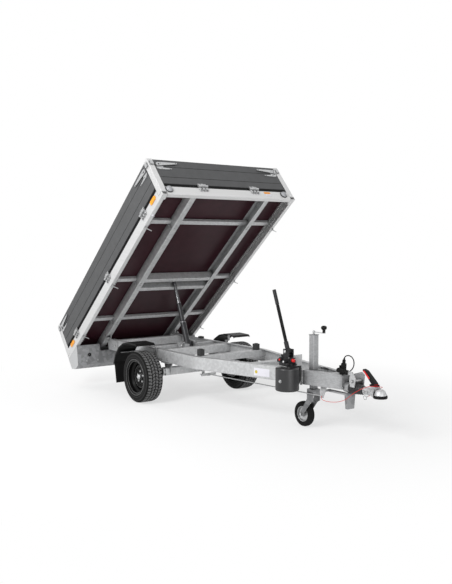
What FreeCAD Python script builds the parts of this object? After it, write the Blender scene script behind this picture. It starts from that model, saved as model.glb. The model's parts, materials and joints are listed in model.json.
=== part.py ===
"""Single-axle tipping trailer with an A-shaped drawbar, its load bed raised to the rear.

Frame, in millimetres: +X points forwards to the coupling, +Y to the trailer's left, +Z up. The ground is z = 0, and
x = 0 lies midway between the coupling's nose and the rear edge of the raised bed.
The bed and what rides on it are drawn level, with the tipping hinge's axis as their origin, and are then tipped.
"""

import FreeCAD
import Part
import math
import os

V = FreeCAD.Vector
X, Y, Z = V(1, 0, 0), V(0, 1, 0), V(0, 0, 1)

# Places along the trailer
AXLE_X = -525.0
HINGE_X = AXLE_X - 1060.0
BEND_X = AXLE_X + 700.0
NOSE_JOINT_X = AXLE_X + 1925.0
NOSE_FRONT_X = AXLE_X + 2300.0
MAST_X = AXLE_X + 1925.0 - 20.0
JOCKEY_TRAIL = 118.0
BALL_X = NOSE_FRONT_X + 380.0

# Chassis beams: folded channels, open inwards
CHASSIS_TOP = 535.0
BEAM_HEIGHT = 125.0
BEAM_FLANGE = 50.0
BEAM_WALL = 4.0
BEAM_FOLD_RADIUS = 10.0
BEAM_OUTER_Y = 450.0
NOSE_OUTER_Y = 52.0
NOSE_WALL = 5.0
CROSS_HEIGHT = 90.0
CROSS_WIDTH = 60.0
BOLTED_GAP = 0.3

# Tipping hinge
HINGE_Z = 541.0
TILT_DEG = 40.2
HINGE_PIN_RADIUS = 10.0
HINGE_PIN_CLEARANCE = 0.05
HINGE_EYE_RADIUS = 17.0
HINGE_EAR_THICK = 10.0
HINGE_SIDE_GAP = 6.0

# Load bed, measured level from the hinge axis
BED_LENGTH = 2780.0
BED_WIDTH = 1620.0
BED_REAR_OVERHANG = 416.0
BED_LIFT = 22.0
RAIL_HEIGHT = 102.0
RAIL_WIDTH = 42.0
RAIL_WALL = 3.0
POST_LENGTH = 70.0
POST_WIDTH = 60.0
POST_FOOT = 39.0
POST_HEIGHT = 461.0
POST_WALL = 3.0
FLOOR_THICK = 15.0
LONGERON_Y = 450.0
LONGERON_WIDTH = 60.0
LONGERON_WALL = 4.0
LONGERON_FOLD = 8.0
CROSS_RAIL_DEPTH = 38.0

# Drop sides
PANEL_THICK = 25.0
PANEL_GAP = 39.0
PANEL_END_GAP = 6.0
PANEL_INSET = 2.0
PANEL_GROOVE = 3.0
PANEL_WALL = 2.5
PLANK_EDGES = (0.0, 87.0, 222.0)
PANEL_HINGE_OUT = 12.0
SEAL_SETBACK = 9.0
SEAL_THICK = 14.0
PANEL_HINGE_LIFT = 15.0

# Wheels
TYRE_RADIUS = 262.5
TYRE_WIDTH = 196.0
RIM_RADIUS = 182.0
HALF_TRACK = 621.0
HUB_PCD = 112.0
AXLE_FORWARD = 150.0
AXLE_TUBE = 80.0
AXLE_TUBE_Z = 318.0

# Tipping cylinder, a telescope of three moving stages
TRUNNION_Z = 530.0
ROD_BALL_U = 956.0
ROD_BALL_V = 68.0
ROD_BALL_RADIUS = 20.0
BARREL_LENGTH = 300.0
BARREL_ABOVE = 45.0
COLLAR_WALL = 4.0
STAGE_STROKE = 222.0
HEAD_GAP = 0.4
STAGE_RADII = (38.0, 31.5, 25.0, 18.5)
STAGE_WALL = 4.5
GUIDE_CLEARANCE = 0.3

# Hand pump
PUMP_X = AXLE_X + 1880.0
PUMP_Y = -283.0
TANK_RADIUS = 102.0
TANK_BOTTOM = 366.0
TANK_TOP = 566.0
LEVER_LEAN_DEG = 20.0
LEVER_LENGTH = 545.0
LEVER_PIVOT_Z = 706.0
LEVER_PIN_RADIUS = 8.0

# Jockey wheel
MAST_SIDE = 60.0
MAST_WALL = 3.0
MAST_TOP = 826.0
MAST_BOTTOM = 385.0
JOCKEY_RADIUS = 112.0
JOCKEY_WIDTH = 62.0
JOCKEY_RIM_RADIUS = 68.0

# Overrun coupling
COUPLING_Z = 430.0
OVERRUN_LEVER_Y = -60.0
BALL_RADIUS = 25.0
HEAD_CUP_RADIUS = 54.0
HEAD_CUP_DROP = 36.0


def box(x0, x1, y0, y1, z0, z1):
    return Part.makeBox(x1 - x0, y1 - y0, z1 - z0, V(x0, y0, z0))


def rod(start, end, radius):
    """A round bar between two points."""
    along = end.sub(start)
    return Part.makeCylinder(radius, along.Length, start, along)


def disc(centre, axis, radius, thick):
    """A round plate centred on a point."""
    half = V(axis).normalize().multiply(thick / 2)
    return rod(centre.sub(half), centre.add(half), radius)


def prism(points, along):
    """A flat outline pushed along a vector."""
    wire = Part.makePolygon([V(*p) for p in points] + [V(*points[0])])
    return Part.Face(wire).extrude(along)


def side_plate(points, y0, y1):
    """An outline of (x, z) points, from y0 to y1."""
    return prism([(x, y0, z) for x, z in points], V(0, y1 - y0, 0))


def ring(profile, centre, axis):
    """Turns a closed outline of (radius, along) points about an axis through a centre."""
    wire = Part.makePolygon([V(r, 0, a) for r, a in profile] + [V(profile[0][0], 0, profile[0][1])])
    solid = Part.Face(wire).revolve(V(0, 0, 0), Z, 360)
    solid.Placement = FreeCAD.Placement(centre, FreeCAD.Rotation(Z, axis))
    return solid


def fuse(shapes):
    joined = shapes[0].multiFuse(shapes[1:]) if len(shapes) > 1 else shapes[0]
    return joined.removeSplitter()


def mirrored(shape):
    """The same piece on the trailer's other side."""
    return shape.mirror(V(0, 0, 0), Y)


def rounded_bar(x0, x1, y0, y1, z0, z1, radius, along):
    """A box whose four edges along one axis are rounded."""
    block = box(x0, x1, y0, y1, z0, z1)
    edges = [
        e
        for e in block.Edges
        if abs(e.tangentAt(e.FirstParameter).dot(along)) > 0.99
    ]
    return block.makeFillet(radius, edges)


def square_tube(x0, x1, y0, y1, z0, z1, wall, radius, along):
    """A rounded rectangular tube along X, Y or Z, open at both ends."""
    outer = rounded_bar(x0, x1, y0, y1, z0, z1, radius, along)
    inset = [0.0 if abs(along[i]) > 0.5 else wall for i in range(3)]
    inner = rounded_bar(
        x0 + inset[0], x1 - inset[0], y0 + inset[1], y1 - inset[1],
        z0 + inset[2], z1 - inset[2], max(radius - wall, 0.5), along,
    )
    return outer.cut(inner)


def channel(length, width, height, wall, radius, lip=0.0):
    """A folded channel along +X from the origin: its web on y = 0, its flanges towards +Y, z from 0 to height."""
    tube = square_tube(0, length, 0, width + 2 * radius, 0, height, wall, radius, X)
    open_from = width - (wall if lip else 0.0)
    kept = tube.common(box(0, length, 0, open_from, 0, height))
    if lip:
        for z0 in (0.0, height - lip):
            kept = kept.fuse(box(0, length, width - wall, width, z0, z0 + lip))
        kept = kept.removeSplitter()
    return kept


def placed(shape, origin, turn_deg=0.0, axis=Z):
    shape = shape.copy()
    shape.rotate(V(0, 0, 0), axis, turn_deg)
    shape.translate(origin)
    return shape


def tipped(shape):
    """Moves a piece from the level bed, hinge at the origin, to the raised bed."""
    return placed(shape, V(HINGE_X, 0, HINGE_Z), -TILT_DEG, Y)


def pair(shape):
    """A piece and its mirror image, as two solids of one node."""
    return Part.makeCompound([shape, mirrored(shape)])


# The trunnion lies as far from the tipping hinge as the rod's ball, so the cylinder turns half as far as the bed
TRUNNION_X = HINGE_X + math.sqrt(ROD_BALL_U ** 2 + ROD_BALL_V ** 2 - (TRUNNION_Z - HINGE_Z) ** 2)

# Levels and ends of the bed, from its driving sizes
U_REAR = -BED_REAR_OVERHANG
U_FRONT = BED_LENGTH - BED_REAR_OVERHANG
V_RAIL = BED_LIFT
V_RAIL_TOP = BED_LIFT + RAIL_HEIGHT
V_POST_TOP = BED_LIFT + POST_HEIGHT
V_FLOOR = V_RAIL_TOP + BOLTED_GAP
V_FLOOR_TOP = V_FLOOR + FLOOR_THICK
V_PANEL = V_RAIL_TOP + PANEL_GAP
V_PANEL_HINGE = V_RAIL_TOP + PANEL_HINGE_LIFT
HALF_BED = BED_WIDTH / 2
CHASSIS_BOTTOM = CHASSIS_TOP - BEAM_HEIGHT
V_ANGLE = math.atan2(BEAM_OUTER_Y - NOSE_OUTER_Y, NOSE_FRONT_X - BEND_X)


def beam_outer_y(x):
    """Half the chassis width over the beams at x."""
    return BEAM_OUTER_Y if x < BEND_X else BEAM_OUTER_Y - (x - BEND_X) * math.tan(V_ANGLE)


# Chassis


def chassis_beam():
    """The left beam: straight behind the bend, then leading in to the coupling, as one mitred channel."""
    rear_x = HINGE_X + HINGE_EYE_RADIUS + 9.0
    profile = (BEAM_FLANGE, BEAM_HEIGHT, BEAM_WALL, BEAM_FOLD_RADIUS)
    spare = 60.0
    straight = placed(channel(BEND_X - rear_x + spare, *profile), V(0, 0, 0), 0)
    straight = straight.mirror(V(0, 0, 0), Y)
    straight.translate(V(rear_x, BEAM_OUTER_Y, CHASSIS_BOTTOM))
    run = (NOSE_JOINT_X - BEND_X) / math.cos(V_ANGLE)
    lead = channel(run + spare, *profile)
    lead = lead.mirror(V(0, 0, 0), Y)
    lead.translate(V(-spare, 0, 0))
    lead.rotate(V(0, 0, 0), Z, -math.degrees(V_ANGLE))
    lead.translate(V(BEND_X, BEAM_OUTER_Y, CHASSIS_BOTTOM))
    half = 2000.0
    behind = Part.makeBox(half, 2 * half, 2 * half, V(-half, -half, -half))
    behind.rotate(V(0, 0, 0), Z, -math.degrees(V_ANGLE) / 2)
    behind.translate(V(BEND_X, BEAM_OUTER_Y, CHASSIS_BOTTOM))
    joined = straight.common(behind).fuse(lead.cut(behind)).removeSplitter()
    return joined.common(box(rear_x - 1, NOSE_JOINT_X, -900, 900, 0, 900))


def cross_channel(x, height=CROSS_HEIGHT, width=CROSS_WIDTH, top=CHASSIS_TOP - BEAM_WALL):
    """A cross-member between the beams' webs, open to the rear."""
    reach = beam_outer_y(x + width) - BEAM_FOLD_RADIUS - BOLTED_GAP
    piece = channel(2 * reach, width, height, BEAM_WALL, 8.0)
    piece.rotate(V(0, 0, 0), Z, 90)
    piece.translate(V(x + width, -reach, top - height - BOLTED_GAP))
    return piece


PAD_MEMBER_X = BEND_X - 72.0
PAD_Y = 345.0
PAD_SIDE = 54.0
PAD_HEIGHT = 62.0
CROSS_PLACES = (
    # x, height
    (HINGE_X + 90.0, 90.0),
    (TRUNNION_X - 170.0, 90.0),
    (TRUNNION_X + 115.0, 90.0),
    (PAD_MEMBER_X, 70.0),
    (AXLE_X + 1290.0, 60.0),
)


def chassis_crossmembers():
    return Part.makeCompound([cross_channel(x, height=h) for x, h in CROSS_PLACES])


def drawbar_nose():
    """The box at the drawbar's front: two side sheets that carry on the beams, a top and a bottom tie, and an end plate."""
    y0, y1 = beam_outer_y(NOSE_JOINT_X), beam_outer_y(NOSE_FRONT_X)
    start = NOSE_JOINT_X + BOLTED_GAP
    wall = NOSE_WALL
    outline = [(start, -y0, CHASSIS_BOTTOM), (NOSE_FRONT_X, -y1, CHASSIS_BOTTOM),
               (NOSE_FRONT_X, y1, CHASSIS_BOTTOM), (start, y0, CHASSIS_BOTTOM)]
    block = prism(outline, V(0, 0, BEAM_HEIGHT))
    inner = [(start - 1, -y0 + wall, CHASSIS_BOTTOM - 1), (NOSE_FRONT_X - wall, -y1 + wall, CHASSIS_BOTTOM - 1),
             (NOSE_FRONT_X - wall, y1 - wall, CHASSIS_BOTTOM - 1), (start - 1, y0 - wall, CHASSIS_BOTTOM - 1)]
    shell = block.cut(prism(inner, V(0, 0, BEAM_HEIGHT + 2)))
    flange = 26.0
    rim = [(start, -y0 + wall, CHASSIS_TOP - wall), (NOSE_FRONT_X - wall, -y1 + wall, CHASSIS_TOP - wall),
           (NOSE_FRONT_X - wall, y1 - wall, CHASSIS_TOP - wall), (start, y0 - wall, CHASSIS_TOP - wall)]
    lid = prism(rim, V(0, 0, wall))
    floor = lid.copy()
    floor.translate(V(0, 0, wall - BEAM_HEIGHT))
    hole = [(start - 1, -y0 + wall + flange, 0), (NOSE_FRONT_X - 130.0, -y1 + wall + 6, 0),
            (NOSE_FRONT_X - 130.0, y1 - wall - 6, 0), (start - 1, y0 - wall - flange, 0)]
    opening = prism(hole, V(0, 0, 900))
    end_hole = rod(V(NOSE_FRONT_X - 20, 0, COUPLING_Z + 20), V(NOSE_FRONT_X + 1, 0, COUPLING_Z + 20), 30.0)
    return fuse([shell, lid.cut(opening), floor.cut(opening)]).cut(end_hole)


def mast_clamp():
    """Plates across the drawbar, from web to web, that hold the jockey mast."""
    plates = []
    half = MAST_SIDE / 2 + BOLTED_GAP
    x0, x1 = MAST_X - half - 22, MAST_X + half + 14
    y0, y1 = (beam_outer_y(x) - NOSE_WALL - BOLTED_GAP for x in (x0, x1))
    for z in (CHASSIS_BOTTOM + 12.0, CHASSIS_TOP - 22.0):
        plate = prism([(x0, -y0, z), (x1, -y1, z), (x1, y1, z), (x0, y0, z)], V(0, 0, 8))
        plates.append(plate.cut(box(MAST_X - half, MAST_X + half, -half, half, 0, 900)))
    return plates


def hinge_ears():
    """Plates outside the beams' rear ends, each with a bore for the tipping hinge's pin."""
    y0 = BEAM_OUTER_Y + BOLTED_GAP
    front = HINGE_X + 210.0
    plate = side_plate(
        [(HINGE_X, CHASSIS_BOTTOM + 4), (front, CHASSIS_BOTTOM + 4), (front, CHASSIS_TOP - 14),
         (HINGE_X + HINGE_EYE_RADIUS, HINGE_Z + 6), (HINGE_X, HINGE_Z + 6),
         (HINGE_X - HINGE_EYE_RADIUS, HINGE_Z), (HINGE_X - HINGE_EYE_RADIUS, CHASSIS_BOTTOM + 60)],
        y0, y0 + HINGE_EAR_THICK)
    eye = rod(V(HINGE_X, y0, HINGE_Z), V(HINGE_X, y0 + HINGE_EAR_THICK, HINGE_Z), HINGE_EYE_RADIUS)
    bore = rod(V(HINGE_X, y0 - 1, HINGE_Z), V(HINGE_X, y0 + 60, HINGE_Z), HINGE_PIN_RADIUS + HINGE_PIN_CLEARANCE)
    return pair(fuse([plate, eye]).cut(bore))


def rest_pads():
    """Rubber blocks that the lowered bed lies on: flat ones on the beams, and two tall ones on a cross-member."""
    y0 = BEAM_OUTER_Y - BEAM_FLANGE + 4
    height = HINGE_Z + BED_LIFT - CHASSIS_TOP - 6.0
    flat = box(AXLE_X - 500.0, AXLE_X - 440.0, y0, y0 + 42, CHASSIS_TOP + BOLTED_GAP, CHASSIS_TOP + height)
    seat = CHASSIS_TOP - BEAM_WALL
    tall = rounded_bar(PAD_MEMBER_X + 2, PAD_MEMBER_X + CROSS_WIDTH - 2, PAD_Y - PAD_SIDE / 2, PAD_Y + PAD_SIDE / 2,
                       seat, seat + PAD_HEIGHT, 5.0, Z)
    cap = disc(V(PAD_MEMBER_X + CROSS_WIDTH / 2, PAD_Y, seat + PAD_HEIGHT + 2), Z, PAD_SIDE / 2 - 8, 6.0)
    tall = fuse([tall, cap])
    return Part.makeCompound([flat, mirrored(flat), tall, mirrored(tall)])


def axle():
    """A rubber-sprung axle: cross tube, end brackets, trailing arms and stub axles, with the brake's back plates."""
    tube_x = AXLE_X + AXLE_FORWARD
    half = HALF_TRACK - TYRE_WIDTH / 2 - 62.0
    tube = rounded_bar(tube_x - AXLE_TUBE / 2, tube_x + AXLE_TUBE / 2, -half, half,
                       AXLE_TUBE_Z - AXLE_TUBE / 2, AXLE_TUBE_Z + AXLE_TUBE / 2, 14.0, Y)
    shapes = [tube]
    top = CHASSIS_BOTTOM - BOLTED_GAP
    inner = BEAM_OUTER_Y - BEAM_FLANGE
    bracket = side_plate(
        [(tube_x - 75, top), (tube_x - 75, top - 10), (tube_x - 42, AXLE_TUBE_Z - 30), (tube_x + 42, AXLE_TUBE_Z - 30),
         (tube_x + 75, top - 10), (tube_x + 75, top)], inner, inner + 8)
    seat = box(tube_x - 75, tube_x + 75, inner, BEAM_OUTER_Y, top - 8, top)
    arm_y0 = half
    arm = side_plate(
        [(AXLE_X - 34, TYRE_RADIUS - 22), (AXLE_X, TYRE_RADIUS - 36), (tube_x + 20, AXLE_TUBE_Z - 38),
         (tube_x + 38, AXLE_TUBE_Z - 12), (tube_x + 32, AXLE_TUBE_Z + 32), (tube_x - 10, AXLE_TUBE_Z + 38),
         (AXLE_X - 22, TYRE_RADIUS + 30)], arm_y0, arm_y0 + 24)
    plate_y = HALF_TRACK - TYRE_WIDTH / 2 + 4.0
    back_plate = rod(V(AXLE_X, plate_y - 6, TYRE_RADIUS), V(AXLE_X, plate_y, TYRE_RADIUS), 118.0)
    stub = rod(V(AXLE_X, arm_y0, TYRE_RADIUS), V(AXLE_X, HALF_TRACK + 40, TYRE_RADIUS), 18.0)
    side = [bracket, seat, arm, back_plate, stub]
    return fuse(shapes + side + [mirrored(s) for s in side])


def brake_linkage():
    """The long pull rod from the overrun lever, and the balance bar on the axle that shares its pull."""
    rear = V(AXLE_X + 300.0, 0, 262.0)
    front = V(AXLE_X + 2059.0, OVERRUN_LEVER_Y, 322.0)
    pull = rod(rear, front, 5.0)
    bar = box(rear.x - 14, rear.x + 2, -90, 90, rear.z - 12, rear.z + 12)
    pieces = [pull, bar]
    stay_x = AXLE_X + AXLE_FORWARD + AXLE_TUBE / 2
    pieces.append(box(stay_x + BOLTED_GAP, rear.x + 2, -16, 16, rear.z - 16, rear.z - 11))
    pieces.append(box(stay_x + BOLTED_GAP, stay_x + 6, -16, 16, rear.z - 16, AXLE_TUBE_Z + 20))
    for y in (-70.0, 70.0):
        pieces.append(rod(V(rear.x - 62, y, rear.z), V(rear.x, y, rear.z), 5.0))
    return fuse(pieces)


# Wheels


def tyre(side):
    """A low van tyre, hollow inside its tread and walls."""
    half = TYRE_WIDTH / 2
    bead = RIM_RADIUS - 14.0
    bead_half = 76.0
    profile = [
        (bead, -bead_half), (RIM_RADIUS + 10, -half + 6), (RIM_RADIUS + 42, -half), (TYRE_RADIUS - 18, -half + 6),
        (TYRE_RADIUS - 5, -half + 18), (TYRE_RADIUS, -half + 40), (TYRE_RADIUS, half - 40),
        (TYRE_RADIUS - 5, half - 18), (TYRE_RADIUS - 18, half - 6), (RIM_RADIUS + 42, half),
        (RIM_RADIUS + 10, half - 6), (bead, bead_half),
        (bead, bead_half - 14), (RIM_RADIUS + 30, half - 14), (TYRE_RADIUS - 24, half - 24),
        (TYRE_RADIUS - 24, -half + 24), (RIM_RADIUS + 30, -half + 14), (bead, -bead_half + 14),
    ]
    return ring(profile, V(AXLE_X, side * HALF_TRACK, TYRE_RADIUS), Y)


def rim(side):
    """A pressed steel wheel: barrel with its well, dished disc, five stud holes and a hub hole."""
    wall = 5.0
    seat = RIM_RADIUS - 14.0 - BOLTED_GAP
    barrel = [
        (RIM_RADIUS, -93), (RIM_RADIUS + 4, -91), (RIM_RADIUS + 2, -88.3), (seat, -76.8), (seat, -34),
        (seat - 20, -22), (seat - 20, 22), (seat, 40), (seat, 76.8), (RIM_RADIUS + 2, 88.3), (RIM_RADIUS + 4, 91),
        (RIM_RADIUS, 93), (seat - wall, 82), (seat - wall, 38 + wall), (seat - 20 - wall, 20 + wall),
        (seat - 20 - wall, -20 - wall), (seat - wall, -34 - wall), (seat - wall, -82),
    ]
    face = 16.0
    dish = [
        (34, face - 5), (34, face), (80, face), (92, face + 12), (112, face + 16), (seat - 20, face - 8),
        (seat - 20, face - 16), (112, face + 10), (95, face + 6), (82, face - 5),
    ]
    centre = V(AXLE_X, side * HALF_TRACK, TYRE_RADIUS)
    out = V(0, side, 0)
    solid = fuse([ring(barrel, centre, out), ring(dish, centre, out)])
    for i in range(5):
        a = math.radians(90 + 72 * i)
        at = centre.add(V(HUB_PCD / 2 * math.cos(a), 0, HUB_PCD / 2 * math.sin(a)))
        solid = solid.cut(rod(at.sub(V(0, side * 5, 0)), at.add(V(0, side * 40, 0)), 8.0))
    for i in range(10):
        a = math.radians(36 * i)
        at = centre.add(V(104 * math.cos(a), 0, 104 * math.sin(a)))
        solid = solid.cut(rod(at, at.add(V(0, side * 50, 0)), 7.0))
    return solid


def hub(side):
    """The brake drum with its hub, grease cap and wheel bolts."""
    centre = V(AXLE_X, side * HALF_TRACK, TYRE_RADIUS)
    out = V(0, side, 0)
    face = 16.0 - 5.0 - BOLTED_GAP
    drum_back = -(TYRE_WIDTH / 2 - 4.0) + 1.0
    stub = 18.0 + 0.6
    drum = [
        (stub, face - 10), (110, face - 10), (114, face - 22), (114, drum_back), (104, drum_back), (104, face - 24),
        (46, face - 24), (46, drum_back + 20), (stub, drum_back + 20),
    ]
    boss = [(stub, face - 12), (stub, 46), (0, 46), (0, 62), (18, 60), (28, 52), (30, 40), (30, face - 12)]
    plate = [(stub, face - 12), (stub, face), (80, face), (80, face - 12)]
    solids = [ring(drum, centre, out), ring(boss, centre, out), ring(plate, centre, out)]
    for i in range(5):
        a = math.radians(90 + 72 * i)
        at = centre.add(V(HUB_PCD / 2 * math.cos(a), 0, HUB_PCD / 2 * math.sin(a)))
        solids.append(rod(at.add(V(0, side * (face - 5), 0)), at.add(V(0, side * 24, 0)), 6.0))
        head = placed(hexagon(11.0, 15.0), V(0, 0, 0))
        head.Placement = FreeCAD.Placement(at.add(V(0, side * (16.0 + BOLTED_GAP), 0)), FreeCAD.Rotation(Z, out))
        solids.append(head)
    return fuse(solids)


def hexagon(radius, height):
    points = [(radius * math.cos(math.radians(60 * i)), radius * math.sin(math.radians(60 * i)), 0) for i in range(6)]
    return prism(points, V(0, 0, height))


FENDER_PATH = (
    # forwards of and above the wheel's centre
    (62, 325.5), (40, 343.5), (-130, 349.5), (-230, 329.5), (-330, 273.5), (-402, 189.5), (-446, 89.5),
)
ARM_WIDTH = 30.0
ARM_THICK = 6.0
UPPER_ARM_X = AXLE_X - 35.0
UPPER_ARM_TOP = TYRE_RADIUS + 340.8
LOWER_ARM_X = AXLE_X - 372.0
LOWER_ARM_TOP = TYRE_RADIUS + 217.9


def fender():
    """The left plastic mudguard: it runs from the tyre's top back and down, with a flap below it."""
    y0, y1 = HALF_TRACK - 112.0, HALF_TRACK + 106.0
    outer = [(AXLE_X + x, TYRE_RADIUS + z) for x, z in FENDER_PATH]
    wall = 4.0
    inner = []
    for i, (x, z) in enumerate(outer):
        before = outer[max(i - 1, 0)]
        after = outer[min(i + 1, len(outer) - 1)]
        dx, dz = after[0] - before[0], after[1] - before[1]
        size = math.hypot(dx, dz)
        inner.append((x - dz / size * wall, z + dx / size * wall))
    skin = side_plate(outer + inner[::-1], y0, y1)
    lip = 16.0
    deeper = []
    for i, (x, z) in enumerate(outer):
        before = outer[max(i - 1, 0)]
        after = outer[min(i + 1, len(outer) - 1)]
        dx, dz = after[0] - before[0], after[1] - before[1]
        size = math.hypot(dx, dz)
        deeper.append((x - dz / size * lip, z + dx / size * lip))
    rims = [side_plate(outer + deeper[::-1], y, y + wall) for y in (y0, y1 - wall)]
    flap_top = AXLE_X - 440.0
    flap_high, flap_low = TYRE_RADIUS + 109.5, TYRE_RADIUS - 112.5
    flap = side_plate([(flap_top, flap_high), (flap_top + 5, flap_high), (flap_top + 45, flap_low),
                       (flap_top + 40, flap_low)], y0 + 10, y1 - 10)
    guard = fuse([skin, *rims, flap])
    for x, high in ((UPPER_ARM_X, UPPER_ARM_TOP), (LOWER_ARM_X, LOWER_ARM_TOP)):
        guard = guard.cut(box(x - BOLTED_GAP, x + ARM_WIDTH + BOLTED_GAP, y0 - 1, y0 + wall + 1,
                              high - 30, high + BOLTED_GAP))
    return guard


def fender_arms():
    """Two flat steel arms from the left beam to the mudguard; the upper one steps round the lowered bed's longeron."""
    y0 = BEAM_OUTER_Y + BOLTED_GAP
    step_y = LONGERON_Y + LONGERON_WIDTH / 2 + 10.0
    reach = HALF_TRACK + 60.0
    x, top = UPPER_ARM_X, UPPER_ARM_TOP
    step = top - 47.3
    upper = fuse([
        box(x, x + ARM_WIDTH, y0, y0 + ARM_THICK, step - 75, step),
        box(x, x + ARM_WIDTH, y0, step_y + ARM_THICK, step - ARM_THICK, step),
        box(x, x + ARM_WIDTH, step_y, step_y + ARM_THICK, step - ARM_THICK, top),
        box(x, x + ARM_WIDTH, step_y, reach, top - 5, top),
    ])
    x, top = LOWER_ARM_X, LOWER_ARM_TOP
    lower = fuse([
        box(x, x + ARM_WIDTH, y0, y0 + ARM_THICK, top - 45, top),
        box(x, x + ARM_WIDTH, y0, reach, top - ARM_THICK, top),
    ])
    return [upper, lower]


# Tipping cylinder


def cylinder_frame():
    """The raised cylinder: its trunnion, the distance from there to its rod's ball, and the direction."""
    tilt = math.radians(TILT_DEG)
    ball = V(HINGE_X + ROD_BALL_U * math.cos(tilt) - ROD_BALL_V * math.sin(tilt), 0,
             HINGE_Z + ROD_BALL_U * math.sin(tilt) + ROD_BALL_V * math.cos(tilt))
    base = V(TRUNNION_X, 0, TRUNNION_Z)
    along = ball.sub(base)
    return base, along.Length, V(along).normalize()


def on_cylinder(shape):
    """Moves a piece drawn along +Z from the trunnion to its place."""
    base, _, along = cylinder_frame()
    lean = math.degrees(math.atan2(along.x, along.z))
    return placed(shape, base, lean, Y)


def tube_up(z0, z1, outer, inner):
    solid = Part.makeCylinder(outer, z1 - z0, V(0, 0, z0))
    return solid.cut(Part.makeCylinder(inner, z1 - z0 + 2, V(0, 0, z0 - 1))) if inner else solid


def stage_level(number):
    """How far a stage's lower end lies above the barrel's, raised."""
    return BARREL_ABOVE - BARREL_LENGTH + 14.0 + number * (STAGE_STROKE + 2.0)


def barrel():
    """The outermost stage with its closed foot, its collar and its two trunnion pins."""
    r = STAGE_RADII[0]
    low = BARREL_ABOVE - BARREL_LENGTH
    body = tube_up(low, BARREL_ABOVE, r, r - STAGE_WALL)
    foot = Part.makeCylinder(r, 10, V(0, 0, low))
    collar = tube_up(-20, BARREL_ABOVE, r + COLLAR_WALL, r - STAGE_WALL + 0.2)
    pins = [rod(V(0, s * r, 0), V(0, s * (r + 42), 0), 14.0) for s in (-1, 1)]
    solid = fuse([body, foot, collar, *pins])
    solid = solid.cut(Part.makeCylinder(r - STAGE_WALL, BARREL_LENGTH - 10, V(0, 0, low + 10)))
    return on_cylinder(solid)


def stage(number):
    """A sliding stage with a guide ring at its foot. The first two are tubes, the last is solid and ends in a ball."""
    _, reach, _ = cylinder_frame()
    outer = STAGE_RADII[number] if number < 3 else STAGE_RADII[3]
    low = stage_level(number)
    guide = Part.makeCylinder(STAGE_RADII[number - 1] - STAGE_WALL - GUIDE_CLEARANCE, 16, V(0, 0, low))
    if number == 3:
        body = Part.makeCylinder(outer, reach - 10 - low, V(0, 0, low))
        ball = Part.makeSphere(ROD_BALL_RADIUS, V(0, 0, reach))
        return on_cylinder(fuse([body, guide, ball]))
    top = low + BARREL_LENGTH - 22.0
    hollow = Part.makeCylinder(outer - STAGE_WALL, BARREL_LENGTH, V(0, 0, low - 1))
    return on_cylinder(fuse([tube_up(low, top, outer, outer - STAGE_WALL), guide.cut(hollow)]))


def cylinder_cradle():
    """Two bearing plates that hang the cylinder's trunnion between two cross-members."""
    r = STAGE_RADII[0]
    y0 = r + 14.0
    x0 = CROSS_PLACES[1][0] + CROSS_WIDTH + BOLTED_GAP
    x1 = CROSS_PLACES[2][0] - BOLTED_GAP
    plate = box(x0, x1, y0, y0 + 12, TRUNNION_Z - 40, TRUNNION_Z + 24)
    boss = rod(V(TRUNNION_X, y0, TRUNNION_Z), V(TRUNNION_X, y0 + 24, TRUNNION_Z), 26.0)
    bore = rod(V(TRUNNION_X, y0 - 1, TRUNNION_Z), V(TRUNNION_X, y0 + 60, TRUNNION_Z), 14.0 + 0.4)
    return pair(fuse([plate, boss]).cut(bore))


# Load bed


def side_rails():
    """Folded side rails, the web outside; below each corner post they run on as an open box."""
    length = BED_LENGTH - 2 * POST_LENGTH - 2 * BOLTED_GAP
    piece = channel(length, RAIL_WIDTH, RAIL_HEIGHT, RAIL_WALL, 5.0, lip=16.0)
    piece = piece.mirror(V(0, 0, 0), Y)
    piece.translate(V(U_REAR + POST_LENGTH + BOLTED_GAP, HALF_BED, V_RAIL))
    grip = POST_LENGTH + BOLTED_GAP + 4.0
    ends = [square_tube(u0, u0 + grip, HALF_BED - POST_WIDTH, HALF_BED, V_RAIL, V_RAIL + POST_FOOT - BOLTED_GAP,
                        RAIL_WALL, 5.0, X) for u0 in (U_REAR, U_FRONT - grip)]
    return tipped(pair(fuse([piece, *ends])))


def end_rails():
    """Front and rear rails between the corner posts."""
    length = BED_WIDTH - 2 * POST_WIDTH - 2 * BOLTED_GAP
    front = channel(length, RAIL_WIDTH, RAIL_HEIGHT, RAIL_WALL, 5.0, lip=16.0)
    front.rotate(V(0, 0, 0), Z, 90)
    rear = front.mirror(V(0, 0, 0), X)
    front.translate(V(U_FRONT, -length / 2, V_RAIL))
    rear.translate(V(U_REAR, -length / 2, V_RAIL))
    return tipped(Part.makeCompound([front, rear]))


def corner_posts():
    """Square corner posts with closed tops, standing on the side rails' box ends."""
    posts = []
    for u0 in (U_REAR, U_FRONT - POST_LENGTH):
        posts.append(square_tube(u0, u0 + POST_LENGTH, HALF_BED - POST_WIDTH, HALF_BED, V_RAIL + POST_FOOT, V_POST_TOP,
                                 POST_WALL, 4.0, Z))
        posts[-1] = fuse([posts[-1], box(u0 + 4, u0 + POST_LENGTH - 4, HALF_BED - POST_WIDTH + 4, HALF_BED - 4,
                                         V_POST_TOP - 4, V_POST_TOP)])
    return tipped(Part.makeCompound(posts + [mirrored(p) for p in posts]))


def longerons():
    """The two long channels under the floor, open inwards."""
    u0 = U_REAR + RAIL_WIDTH + BOLTED_GAP
    length = BED_LENGTH - 2 * RAIL_WIDTH - 2 * BOLTED_GAP
    height = V_FLOOR - V_RAIL - BOLTED_GAP
    piece = channel(length, LONGERON_WIDTH, height, LONGERON_WALL, LONGERON_FOLD)
    piece = piece.mirror(V(0, 0, 0), Y)
    piece.translate(V(u0, LONGERON_Y + LONGERON_WIDTH / 2, V_RAIL))
    return tipped(pair(piece))


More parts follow.
